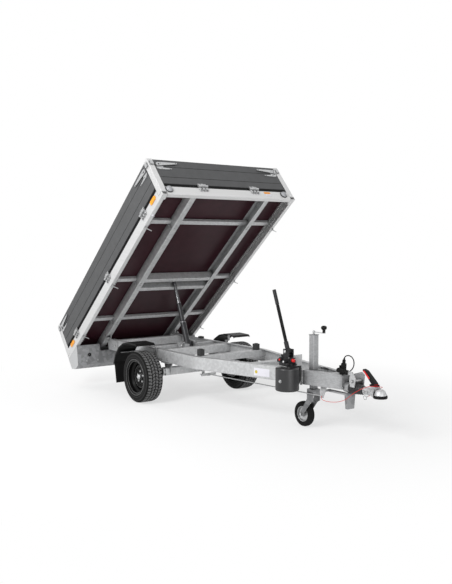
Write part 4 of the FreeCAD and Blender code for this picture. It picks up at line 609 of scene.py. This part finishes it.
ROD_BALL_U, ROD_BALL_V = 0.956, 0.068
TRUNNION_Z = 0.530
TRUNNION = Vector((HINGE_X + math.sqrt(ROD_BALL_U ** 2 + ROD_BALL_V ** 2 - (TRUNNION_Z - HINGE_Z) ** 2), 0, TRUNNION_Z))
ROD_BALL = BED @ Vector((ROD_BALL_U, 0, ROD_BALL_V))
CYLINDER = frame_at(TRUNNION, ROD_BALL - TRUNNION)
STAGE_TOPS, STAGE_RADII = (0.261, 0.485), (0.0315, 0.025)
CAP_HALF, CAP_Y, CAP_Z = 0.034, (0.0525, 0.0780), (TRUNNION_Z + 0.0243, TRUNNION_Z + 0.0360)
CAP_BOLT_X, CAP_BOLT_Y = 0.023, 0.066
TRUNNION_END_Y = 0.0806
COLLAR_PROFILE = (
    # radius, height above the trunnions
    (0.0335, 0.0452), (0.0335, 0.0475), (0.0432, 0.0475), (0.0447, 0.0455), (0.0447, -0.0205), (0.0421, -0.0205),
    (0.0421, 0.0452),
)


def barrel_collar(bm):
    add_ring(bm, COLLAR_PROFILE, CYLINDER, 40)


def wiper_ring(radius, top):
    return lambda bm: add_ring(bm, [(radius, top - 0.012), (radius + 0.0011, top - 0.011), (radius + 0.0011, top),
                                    (radius - 0.003, top + 0.0008), (radius - 0.003, top)], CYLINDER, 40)


def trunnion_caps(bm):
    """Bearing caps and their bolts over the cylinder's trunnion pins."""
    for side in (-1, 1):
        low, high = sorted(side * y for y in CAP_Y)
        add_box(bm, (TRUNNION.x - CAP_HALF, low, CAP_Z[0]), (TRUNNION.x + CAP_HALF, high, CAP_Z[1]))
        for dx in (-CAP_BOLT_X, CAP_BOLT_X):
            add_bolt(bm, (TRUNNION.x + dx, side * CAP_BOLT_Y, CAP_Z[1] + 0.0001), UP, 0.0075, 0.0065)


def trunnion_nuts(bm):
    """Nuts on the ends of the cylinder's trunnion pins."""
    for side in (-1, 1):
        add_bolt(bm, (TRUNNION.x, side * TRUNNION_END_Y, TRUNNION_Z), (0, side, 0), 0.0100, 0.0070)


gather("trunnion_caps", ZINC, "chassis", trunnion_caps)
gather("trunnion_nuts", ZINC, "barrel", trunnion_nuts)
gather("barrel_collar_sleeve", RAM, "barrel", barrel_collar)
gather("stage_1_wiper", CHROME, "stage_1", wiper_ring(STAGE_RADII[0], STAGE_TOPS[0]))
gather("stage_2_wiper", CHROME, "stage_2", wiper_ring(STAGE_RADII[1], STAGE_TOPS[1]))


# Hand pump

PUMP_BLOCK_Z = 0.5823
PUMP_END_X, PUMP_NEAR_Y = PUMP.x + 0.0662, PUMP.y - 0.0382
BLOCK_TOP_Z = PUMP_BLOCK_Z + 0.0702
END_KNOB = Vector((PUMP_END_X, PUMP.y - 0.004, PUMP_BLOCK_Z + 0.052))
NEAR_KNOB = Vector((PUMP.x - 0.038, PUMP_NEAR_Y, PUMP_BLOCK_Z + 0.051))
TANK_RADIUS, TANK_MARK_Z, TANK_MARK_ANGLE = 0.1018, 0.458, math.radians(-76.4)
LEVER_PIVOT, LEVER_EYE_HALF = Vector((PUMP.x + 0.010, PUMP.y, 0.706)), 0.0362
LEVER_LEAN, SLEEVE_START, SLEEVE_LENGTH = math.radians(20), 0.072, 0.340
STUD_CHAMFER = 0.003


def add_stud(bm, place, axis, radius, height):
    """A round stud with a chamfered end."""
    profile = [(0, 0), (radius, 0), (radius, height - STUD_CHAMFER), (radius - STUD_CHAMFER, height), (0, height)]
    add_lathe(bm, profile, frame_at(place, axis), 20)


def pump_caps(bm):
    large = [(0, 0), (0.0150, 0), (0.0150, 0.016), (0.0125, 0.021), (0, 0.022)]
    small = [(0, 0.0155), (0.0090, 0.0155), (0.0090, 0.0195), (0.007, 0.0215), (0, 0.0220)]
    add_lathe(bm, large, frame_at(END_KNOB + Vector((0.0078, 0, 0)), FORWARD), 24)
    add_lathe(bm, small, frame_at(NEAR_KNOB - Vector((0, 0.0001, 0)), NEAR), 24)


def pump_bosses(bm):
    add_lathe(bm, [(0, 0), (0.026, 0), (0.026, 0.006), (0.023, 0.0078), (0, 0.0078)], frame_at(END_KNOB, FORWARD), 28)
    add_lathe(bm, [(0, 0), (0.019, 0), (0.019, 0.012), (0.0165, 0.0155), (0, 0.0155)], frame_at(NEAR_KNOB, NEAR), 28)
    for dy in (-0.024, 0.022):
        add_stud(bm, (PUMP_END_X, PUMP.y + dy, PUMP_BLOCK_Z + 0.016), FORWARD, 0.011, 0.023)
    add_stud(bm, (PUMP.x + 0.056, PUMP_NEAR_Y, PUMP_BLOCK_Z + 0.020), NEAR, 0.013, 0.021)


def pump_screws(bm):
    out = Vector((math.cos(TANK_MARK_ANGLE), math.sin(TANK_MARK_ANGLE), 0))
    add_bolt(bm, Vector((PUMP.x, PUMP.y, TANK_MARK_Z)) + out * TANK_RADIUS, out, 0.010, 0.012)
    for dx in (-0.050, 0.052):
        for dy in (-0.026, 0.026):
            add_bolt(bm, (PUMP.x + dx, PUMP.y + dy, BLOCK_TOP_Z), UP, 0.006, 0.005, washer=False)
    for side in (-1, 1):
        add_bolt(bm, LEVER_PIVOT + Vector((0, side * LEVER_EYE_HALF, 0)), (0, side, 0), 0.010, 0.006)
    add_bolt(bm, (PUMP.x + 0.030, PUMP.y - 0.0662, PUMP_BLOCK_Z + 0.042), NEAR, 0.0105, 0.008, washer=False)
    add_bolt(bm, (PUMP_END_X + 0.0006, PUMP.y + 0.028, PUMP_BLOCK_Z + 0.058), FORWARD, 0.006, 0.005, washer=False)


def lever_sleeve(bm):
    along = Vector((-math.sin(LEVER_LEAN), 0, math.cos(LEVER_LEAN)))
    loop = [(0.0108, 0.0), (0.0140, 0.0), (0.0145, 0.004), (0.0145, SLEEVE_LENGTH - 0.004), (0.0108, SLEEVE_LENGTH)]
    add_ring(bm, loop, frame_at(LEVER_PIVOT + along * SLEEVE_START, along), 24)


gather("pump_knob_caps", RED, "chassis", pump_caps)
gather("pump_bosses", BLACK_PAINT, "chassis", pump_bosses)
gather("pump_screws", ZINC, "chassis", pump_screws)
gather("pump_lever_sleeve", RUBBER, "lever", lever_sleeve)


# Coupling, parking brake and jockey wheel

BRAKE_X, BRAKE_Y = NOSE_FRONT_X + 0.128, -0.055
BRAKE_PIVOT = (BRAKE_X, BRAKE_Y - 0.008, COUPLING_Z + 0.068)
GRIP_START = Vector((BRAKE_X - 0.052, BRAKE_Y, CHASSIS_TOP + 0.028))
GRIP_END = Vector((BRAKE_X - 0.172, BRAKE_Y, CHASSIS_TOP + 0.036))
GRIP_RIBS, RIB_RADIUS, GRIP_RADIUS = 6, 0.0200, 0.0160
HANDLE = Matrix.Translation((BALL_X - 0.062, 0, COUPLING_Z + 0.0483))
STRIPE_IN, STRIPE_OUT = 0.0168, 0.0178
STRIPE_SIDE = (
    # x, z from the handle's foot
    (-0.1150, 0.1120), (-0.0915, 0.0965), (-0.0500, 0.0520), (-0.0360, 0.0620), (-0.0960, 0.1180),
)
STRIPE_UNDER = (
    (-0.1160, 0.1120), (-0.0920, 0.0955), (-0.0500, 0.0505), (-0.0480, 0.0520), (-0.0900, 0.0975), (-0.1145, 0.1135),
)
CUP_RING_PROFILE = (
    # radius, height from the ball's middle
    (0.0480, -0.0372), (0.0555, -0.0372), (0.0572, -0.030), (0.0572, -0.018), (0.0545, -0.013), (0.0525, -0.013),
    (0.0535, -0.0362), (0.0480, -0.0362),
)
KNOB_PLACE = (MAST_X + 0.126, 0, 0.826)
KNOB_PROFILE = (
    # radius, height above the crank's end
    (0, 0.0296), (0.0127, 0.0296), (0.0127, 0.0520), (0.0148, 0.0552), (0.0229, 0.0637), (0.0259, 0.0740),
    (0.0228, 0.0848), (0.0123, 0.0908), (0, 0.0920),
)


def grip_sleeve(bm):
    length = (GRIP_END - GRIP_START).length
    profile = [(0, -0.0008), (0.0165, -0.0008)]
    for i in range(GRIP_RIBS):
        middle = (i + 0.5) / GRIP_RIBS * length
        profile += [(GRIP_RADIUS, middle - 0.0070), (RIB_RADIUS, middle - 0.0052), (RIB_RADIUS, middle + 0.0052),
                    (GRIP_RADIUS, middle + 0.0070)]
    profile += [(0.0165, length + 0.0005), (0.012, length + 0.0025), (0, length + 0.0028)]
    add_lathe(bm, profile, frame_at(GRIP_START, GRIP_END - GRIP_START), 28)


def handle_stripe(bm):
    """Red stripes on the sides and the underside of the coupling's handle."""
    for y0, y1 in ((-STRIPE_OUT, -STRIPE_IN), (STRIPE_IN, STRIPE_OUT)):
        add_plate(bm, STRIPE_SIDE, y0, y1, HANDLE)
    add_plate(bm, STRIPE_UNDER, -0.0170, 0.0170, HANDLE)


def handle_foot_mark(bm):
    add_box(bm, (0.012, -0.0175, 0.010), (0.0275, 0.0175, 0.019), HANDLE)


def cup_ring(bm):
    add_ring(bm, CUP_RING_PROFILE, Matrix.Translation((BALL_X, 0, COUPLING_Z)), 48)


def knob_cover(bm):
    add_lathe(bm, KNOB_PROFILE, Matrix.Translation(KNOB_PLACE), 28)


def coupling_bolts(bm):
    """Bolts of the coupling head, of the overrun housing's flange and of the parking brake's pivot."""
    for dx in (-0.150, -0.112):
        for side in (-1, 1):
            add_bolt(bm, (BALL_X + dx, side * 0.0325, COUPLING_Z), (0, side, 0), 0.009, 0.007)
    for y in (-0.053, 0.053):
        for z in (CHASSIS_BOTTOM + 0.016, CHASSIS_TOP - 0.016):
            add_bolt(bm, (NOSE_FRONT_X + 0.0103, y, z), FORWARD, 0.0065, 0.006, washer=False)
    add_bolt(bm, BRAKE_PIVOT, NEAR, 0.009, 0.007)


def jockey_axle_nuts(bm):
    for side in (-1, 1):
        add_bolt(bm, (MAST_X - JOCKEY_TRAIL, side * JOCKEY_AXLE_END, JOCKEY_RADIUS), (0, side, 0), 0.011, 0.008)


gather("handbrake_grip_sleeve", PLASTIC, "chassis", grip_sleeve)
gather("handle_stripe", RED, "chassis", handle_stripe)
gather("handle_foot_mark", RED, "chassis", handle_foot_mark)
gather("coupling_cup_ring", RUBBER, "chassis", cup_ring)
gather("crank_knob_cover", PLASTIC, "chassis", knob_cover)
gather("coupling_bolts", ZINC, "chassis", coupling_bolts)
gather("jockey_axle_nuts", ZINC, "leg", jockey_axle_nuts)


# Chassis: bolts, weld seams, backing plates

RAIL_SCREW = (2.072, 0.022 - HALF_BED, V_RAIL)
CHASSIS_BOLTS = (
    # x, distance from the middle, z, radius, height
    (HINGE_X + 0.095, 0.4605, 0.468, 0.010, 0.008),
    (HINGE_X + 0.165, 0.4605, 0.468, 0.010, 0.008),
    (AXLE_X + 0.095, 0.4502, 0.446, 0.009, 0.007),
    (AXLE_X + 0.205, 0.4502, 0.446, 0.009, 0.007),
    (AXLE_X - 0.020, 0.4565, CHASSIS_TOP - 0.025, 0.007, 0.005),
    (AXLE_X - 0.357, 0.4565, 0.460, 0.007, 0.005),
)
WELD_X, WELD_Y, WELD_INSET = (BEND_X - 0.0025, BEND_X + 0.0015), (0.4498, 0.4512), 0.006
BACKING_Y = 0.482
BACKING_PROFILE = (
    # radius, distance out from the brake's inner side
    (0, 0), (0.098, 0), (0.110, 0.006), (0.110, 0.026), (0.104, 0.030), (0, 0.030),
)
BRACKET_ALONG, BRACKET_Z = (1.236, 1.254, 1.258), (0.404, 0.5345)


def rail_screw(bm):
    add_dome(bm, RAIL_SCREW, (0, 0, -1), 0.013, 0.009, 16)


def chassis_bolts(bm):
    """Bolts of the hinge ears, the axle brackets and the fender arms."""
    for side in (-1, 1):
        for x, y, z, radius, height in CHASSIS_BOLTS:
            add_bolt(bm, (x, side * y, z), (0, side, 0), radius, height)


def bend_welds(bm):
    """Weld seams where the beams bend inwards."""
    for side in (-1, 1):
        low, high = sorted(side * y for y in WELD_Y)
        add_box(bm, (WELD_X[0], low, CHASSIS_BOTTOM + WELD_INSET), (WELD_X[1], high, CHASSIS_TOP - WELD_INSET))


def backing_plates(bm):
    """The brakes' round backing plates behind the wheels."""
    for side in (-1, 1):
        add_lathe(bm, BACKING_PROFILE, frame_at((AXLE_X, side * BACKING_Y, TYRE_R), (0, side, 0)), 40)


def bracket_edge(bm):
    """The raised edges of the pump's bracket on the near beam."""
    rear, front, end = BRACKET_ALONG
    low, high = BRACKET_Z
    for along in (rear, front):
        add_box(bm, (along, -0.0060, low), (along + end - front, -0.0002, high), NEAR_BEAM)
    add_box(bm, (rear, -0.0030, low), (end, -0.0002, high), NEAR_BEAM)


gather("rail_screw", LABEL, "bed", rail_screw, matrix=BED)
gather("chassis_bolts", ZINC, "chassis", chassis_bolts)
gather("bend_welds", ALUMINIUM, "chassis", bend_welds)
gather("brake_backing_plates", SATIN_BLACK, "chassis", backing_plates)
gather("bracket_edge", ALUMINIUM, "chassis", bracket_edge)


# Underside of the bed

CROSS_RAIL_U = (U_REAR + 0.657, U_REAR + 1.370, U_FRONT - 0.485)
HOOK_U = (U_REAR + 0.479, U_REAR + 1.403, U_FRONT - 0.464)
SIDE_HINGE_U = (U_REAR + 0.388, U_REAR + 1.407, U_FRONT - 0.387)
LONGERON_Y, LONGERON_HALF = 0.450, 0.030
LONGERON_FACE = LONGERON_Y + LONGERON_HALF + 0.0003
SIDE_RAIL_WIDTH = 0.060
RAIL_INNER_Y = HALF_BED - SIDE_RAIL_WIDTH - 0.0002
CLEAT_THICKNESS, CLEAT_V = 0.004, (V_RAIL + 0.012, V_RAIL + 0.080)
PIN_END_Y = 0.4765
HOOK_RADIUS = 0.0048
LONGERON_BOLTS = (
    # along the bed, above the rails' underside
    (-0.010, 0.022), (0.016, 0.070), (-0.300, 0.030), (-0.300, 0.075),
)


def crossing_bolts(bm):
    """Bolts and cleats where the cross rails meet the longerons."""
    for u in CROSS_RAIL_U:
        for side in (-1, 1):
            for du in (0.008, 0.042):
                add_bolt(bm, (u + du, side * LONGERON_Y, V_RAIL - 0.0001), (0, 0, -1), 0.0075, 0.006)
            outer = side * (LONGERON_FACE + CLEAT_THICKNESS)
            low, high = sorted((side * LONGERON_FACE, outer))
            add_box(bm, (u - 0.030, low, CLEAT_V[0]), (u - 0.0005, high, CLEAT_V[1]))
            for dv in (0.026, 0.062):
                add_bolt(bm, (u - 0.016, outer, V_RAIL + dv), (0, side, 0), 0.008, 0.007)


def longeron_bolts(bm):
    """Bolts in the longerons' outer webs above the tipping pins and at their rear ends."""
    for side in (-1, 1):
        for u, dv in LONGERON_BOLTS:
            add_bolt(bm, (u, side * LONGERON_FACE, V_RAIL + dv), (0, side, 0), 0.009, 0.008)


def rope_hook_arms(bm):
    """The inward arms of the rope hooks under the side rails."""
    for u in HOOK_U:
        for side in (-1, 1):
            start = Vector((u + 0.004, side * (HALF_BED - 0.014), V_RAIL - 0.014))
            end = Vector((u - 0.012, side * (HALF_BED - 0.078), V_RAIL - 0.036))
            length = (end - start).length
            add_lathe(bm, [(0, 0), (HOOK_RADIUS, 0), (HOOK_RADIUS, length - 0.002), (0.003, length), (0, length)],
                      frame_at(start, end - start), 12)


def pin_nuts(bm):
    """Locked nuts on the tipping pins' outer ends."""
    for side in (-1, 1):
        add_bolt(bm, (0, side * PIN_END_Y, 0), (0, side, 0), 0.0140, 0.0100)


def rail_nuts(bm):
    """Nuts of the side hinges on the side rails' inner faces."""
    for u in SIDE_HINGE_U:
        for side in (-1, 1):
            for du in (-0.054, -0.018, 0.018, 0.054):
                for dv in (0.024, 0.062):
                    add_bolt(bm, (u + du, side * RAIL_INNER_Y, V_RAIL + dv), (0, -side, 0), 0.0090, 0.0075)


gather("tipping_pin_nuts", ZINC, "bed", pin_nuts, matrix=BED)
gather("side_rail_nuts", ZINC, "bed", rail_nuts, matrix=BED)
gather("crossing_bolts", ZINC, "bed", crossing_bolts, matrix=BED)
gather("longeron_bolts", ZINC, "bed", longeron_bolts, matrix=BED)
gather("rope_hook_arms", ZINC, "bed", rope_hook_arms, matrix=BED)


# Side hinges: bolts in the lobes; rings round the front lamps

END_HINGE_Y = (-0.315, 0.315)
LOBE_TIPS = (
    # along the rail from the hinge's middle, above the rail's top
    (-0.0349, -0.0333), (0.0, -0.034), (0.0349, -0.0333),
)
LOBE_FACE, LOBE_RADIUS, LOBE_HEIGHT = 0.0062, 0.0078, 0.004
FRONT_LAMP_Y, FRONT_LAMP_V = (0.095 - HALF_BED, HALF_BED - 0.126), V_RAIL + 0.064
LAMP_RING_PROFILE = (
    # radius, distance out from the rail
    (0.0355, 0.0003), (0.0400, 0.0003), (0.0400, 0.0050), (0.0366, 0.0068), (0.0366, 0.0050),
)


def lobe_bolts(bm):
    for along, drop in LOBE_TIPS:
        v = V_RAIL_TOP + drop
        places = [((u + along, side * (HALF_BED + LOBE_FACE), v), (0, side, 0)) for u in SIDE_HINGE_U
                  for side in (-1, 1)]
        places += [((end, y + along, v), axis) for y in END_HINGE_Y
                   for end, axis in ((U_FRONT + LOBE_FACE, (1, 0, 0)), (U_REAR - LOBE_FACE, (-1, 0, 0)))]
        for place, axis in places:
            add_dome(bm, place, axis, LOBE_RADIUS, LOBE_HEIGHT, 12)


def lamp_rings(bm):
    for y in FRONT_LAMP_Y:
        add_ring(bm, LAMP_RING_PROFILE, frame_at((U_FRONT, y, FRONT_LAMP_V), FORWARD), 32)


gather("hinge_lobe_bolts", SATIN_BLACK, "bed", lobe_bolts, matrix=BED)
gather("front_lamp_rings", RUBBER, "bed", lamp_rings, matrix=BED)


# Drop sides: painted shade in the grooves, rivets on the latches

POST_LENGTH, POST_WIDTH, PANEL_GAP, FACE_INSET = 0.070, 0.060, 0.006, 0.002
SIDE_LENGTH = U_FRONT - U_REAR - 2 * POST_LENGTH - 2 * PANEL_GAP
END_LENGTH = 2 * HALF_BED - 2 * POST_WIDTH - 2 * PANEL_GAP
MIRROR = Matrix.Scale(-1, 4, (0, 1, 0))
SIDE_PLACE = Matrix.Translation((U_REAR + POST_LENGTH + PANEL_GAP, HALF_BED - FACE_INSET, V_PANEL))
FRONT_PLACE = Matrix.Translation((U_FRONT - FACE_INSET, END_LENGTH / 2, V_PANEL))
REAR_PLACE = Matrix.Translation((U_REAR + FACE_INSET, -END_LENGTH / 2, V_PANEL))
TO_LEFT = BED @ SIDE_PLACE
TO_RIGHT = BED @ MIRROR @ SIDE_PLACE
TO_FRONT = BED @ FRONT_PLACE @ Matrix.Rotation(-math.pi / 2, 4, "Z")
TO_REAR = BED @ REAR_PLACE @ Matrix.Rotation(math.pi / 2, 4, "Z")
LATCH_LEVEL = V_POST_TOP - V_PANEL - 0.093
GROOVE_LEVELS, GROOVE_HALF = (0.087, 0.222), 0.0022
RIVETS = (
    # from the panel's end, out of its face, above the latch's level, radius
    (0.034, 0.0150, 0.016, 0.008), (0.150, 0.0050, -0.036, 0.005), (0.060, 0.0050, -0.030, 0.005),
    (0.060, 0.0140, 0.028, 0.004), (0.232, 0.0140, 0.036, 0.005),
)
PANELS = (
    # name, body, place, length
    ("left", "side_left", TO_LEFT, SIDE_LENGTH),
    ("right", "side_right", TO_RIGHT, SIDE_LENGTH),
    ("front", "front_board", TO_FRONT, END_LENGTH),
    ("rear", "tail_board", TO_REAR, END_LENGTH),
)


# Dark strips in the planks' grooves: painted shade
def plank_groove_shade(length):
    def build(bm):
        for z in GROOVE_LEVELS:
            add_box(bm, (0.001, -0.0029, z - GROOVE_HALF), (length - 0.001, -0.0008, z + GROOVE_HALF))
    return build


def latch_rivets(length):
    def build(bm):
        for end, inwards in ((0, 1), (length, -1)):
            for x, y, z, radius in RIVETS:
                add_dome(bm, (end + inwards * x, y, LATCH_LEVEL + z), (0, 1, 0), radius, radius * 0.45, 14)
    return build


for word, body, place, length in PANELS:
    gather("plank_groove_shade_" + word, RUBBER, body, plank_groove_shade(length), matrix=place)
    gather("latch_rivets_" + word, BLACK_PAINT, body, latch_rivets(length), matrix=place)


# Light box: grommets, lamp segments

LAMP_Y = HALF_BED - 0.150
LAMP_LOW, LAMP_HIGH, LAMP_RIM = V_RAIL - 0.125, V_RAIL - 0.015, 0.008
LAMP_FACE = (U_REAR - 0.0068, U_REAR - 0.0049)
APRON = Vector((0.8356, 0, -0.5495))
APRON_BOLT_Y = (-0.700, -0.560, -0.300, 0.300, 0.560, 0.700)
GROMMET_PROFILE = (
    # radius, distance out from the apron
    (0.009, -0.003), (0.0135, -0.003), (0.0135, 0.0005), (0.0195, 0.0005), (0.0185, 0.004), (0.009, 0.004),
)


def apron_grommets(bm):
    for y in (-LAMP_Y, LAMP_Y):
        add_ring(bm, GROMMET_PROFILE, frame_at(Vector((U_REAR + 0.2265, y, V_RAIL - 0.100)), APRON), 28)


def apron_bolts(bm):
    for y in APRON_BOLT_Y:
        add_bolt(bm, Vector((U_REAR + 0.1885, y, V_RAIL - 0.158)) + APRON * 0.0002, APRON, 0.007, 0.005)


def lamp_segment(y0, y1):
    def build(bm):
        for side in (-1, 1):
            low, high = sorted((side * (LAMP_Y + y0), side * (LAMP_Y + y1)))
            add_box(bm, (LAMP_FACE[0], low, LAMP_LOW + LAMP_RIM), (LAMP_FACE[1], high, LAMP_HIGH - LAMP_RIM))
    return build


gather("apron_grommets", RUBBER, "bed", apron_grommets, matrix=BED)
gather("apron_bolts", ZINC, "bed", apron_bolts, matrix=BED)
gather("lamp_amber_segments", AMBER, "bed", lamp_segment(0.045, 0.102), matrix=BED)
gather("lamp_white_segments", WHITE, "bed", lamp_segment(-0.102, -0.060), matrix=BED)


# Stage, light and camera

FADE_START, FADE_END, WHITE_SHARE = 1.2, 3.6, 0.60
WORLD_STRENGTH = 0.42
IMAGE_SIZE, FOCAL_LENGTH, SENSOR_MM = 584, 757.555, 36.0
IMAGE_SHIFT = (-2.998, 2.905)
CAMERA_PLACE = (AXLE_X + 6.7593, -4.4881, 1.6055)
YAW, PITCH, ROLL = math.radians(143.668), math.radians(-3.7266), math.radians(-0.1316)

def seen_rays(nodes, links):
    """A factor that is 1 for the rays that show the background: the camera's, mirrored and refracted ones."""
    rays = make_node(nodes, "LightPath")
    value = rays.outputs["Is Camera Ray"]
    for name in ("Is Glossy Ray", "Is Transmission Ray"):
        either = make_node(nodes, "Math", operation="MAXIMUM")
        links.new(value, either.inputs[0])
        links.new(rays.outputs[name], either.inputs[1])
        value = either.outputs[0]
    return value


def blend_white(nodes, links, share, shader, white, output):
    """Mixes a shader with white by share and sends the result to the output."""
    mix = make_node(nodes, "MixShader")
    links.new(share, mix.inputs["Fac"])
    links.new(shader, mix.inputs[1])
    links.new(white, mix.inputs[2])
    links.new(mix.outputs[0], nodes[output].inputs["Surface"])


def floor_material():
    """A matt pale floor that turns to plain white away from the trailer."""
    mat = bpy.data.materials.new("stage_floor")
    mat.use_nodes = True
    nodes, links = mat.node_tree.nodes, mat.node_tree.links
    bsdf = nodes["Principled BSDF"]
    set_inputs(bsdf, {"Base Color": (0.96, 0.96, 0.96, 1), "Roughness": 0.9, "Specular IOR Level": 0.1})
    coords = make_node(nodes, "TexCoord")
    away = make_node(nodes, "VectorMath", operation="LENGTH")
    links.new(coords.outputs["Object"], away.inputs[0])
    fade = make_node(nodes, "MapRange", interpolation_type="SMOOTHSTEP")
    set_inputs(fade, {"From Min": FADE_START, "From Max": FADE_END, "To Min": WHITE_SHARE})
    links.new(away.outputs["Value"], fade.inputs["Value"])
    white = make_node(nodes, "Emission")
    set_inputs(white, {"Strength": 1.0})
    share = make_node(nodes, "Math", operation="MULTIPLY")
    links.new(seen_rays(nodes, links), share.inputs[0])
    links.new(fade.outputs["Result"], share.inputs[1])
    blend_white(nodes, links, share.outputs[0], bsdf.outputs[0], white.outputs[0], "Material Output")
    return mat


def stage():
    bpy.ops.mesh.primitive_plane_add(size=60.0, location=(0, 0, 0))
    floor = bpy.context.object
    floor.name = "stage_floor"
    floor.data.materials.append(floor_material())


def soft_world():
    """Even soft light, with plain white where the background is seen."""
    world = bpy.data.worlds.new("soft_world")
    bpy.context.scene.world = world
    world.use_nodes = True
    nodes, links = world.node_tree.nodes, world.node_tree.links
    background = nodes["Background"]
    set_inputs(background, {"Color": (0.94, 0.95, 0.96, 1), "Strength": WORLD_STRENGTH})
    white = make_node(nodes, "Background")
    set_inputs(white, {"Color": (1, 1, 1, 1), "Strength": 1.0})
    blend_white(nodes, links, seen_rays(nodes, links), background.outputs[0], white.outputs[0], "World Output")


def area(name, place, target, size, power):
    lamp = bpy.data.lights.new(name, "AREA")
    lamp.shape = "SQUARE"
    lamp.size = size
    lamp.energy = power
    obj = bpy.data.objects.new(name, lamp)
    obj.location = place
    obj.rotation_euler = (Vector(target) - Vector(place)).to_track_quat("-Z", "Y").to_euler()
    bpy.context.scene.collection.objects.link(obj)


def camera():
    """The camera fitted to the photograph, its lengths in the photograph's pixels."""
    look = Vector((math.cos(YAW) * math.cos(PITCH), math.sin(YAW) * math.cos(PITCH), math.sin(PITCH)))
    level_right = Vector((math.sin(YAW), -math.cos(YAW), 0))
    level_up = level_right.cross(look)
    right = math.cos(ROLL) * level_right + math.sin(ROLL) * level_up
    up = math.cos(ROLL) * level_up - math.sin(ROLL) * level_right
    cam = bpy.data.cameras.new("camera")
    cam.sensor_width = SENSOR_MM
    cam.lens = FOCAL_LENGTH / IMAGE_SIZE * SENSOR_MM
    cam.shift_x, cam.shift_y = [shift / IMAGE_SIZE for shift in IMAGE_SHIFT]
    cam.clip_end = 200.0
    obj = bpy.data.objects.new("camera", cam)
    rotation = Matrix((right, up, -look)).transposed()
    obj.matrix_world = Matrix.Translation(CAMERA_PLACE) @ rotation.to_4x4()
    bpy.context.scene.collection.objects.link(obj)
    bpy.context.scene.camera = obj


stage()
soft_world()
area("key", (2.0, -6.5, 5.0), (-0.3, 0, 0.8), 2.5, 400.0)
area("fill", (11.0, -2.5, 1.6), (-0.6, 0, 1.1), 4.0, 330.0)
area("back", (-5.0, -1.0, 5.0), (-0.5, 0, 1.0), 3.0, 110.0)
camera()
bpy.context.scene.view_settings.view_transform = "Standard"
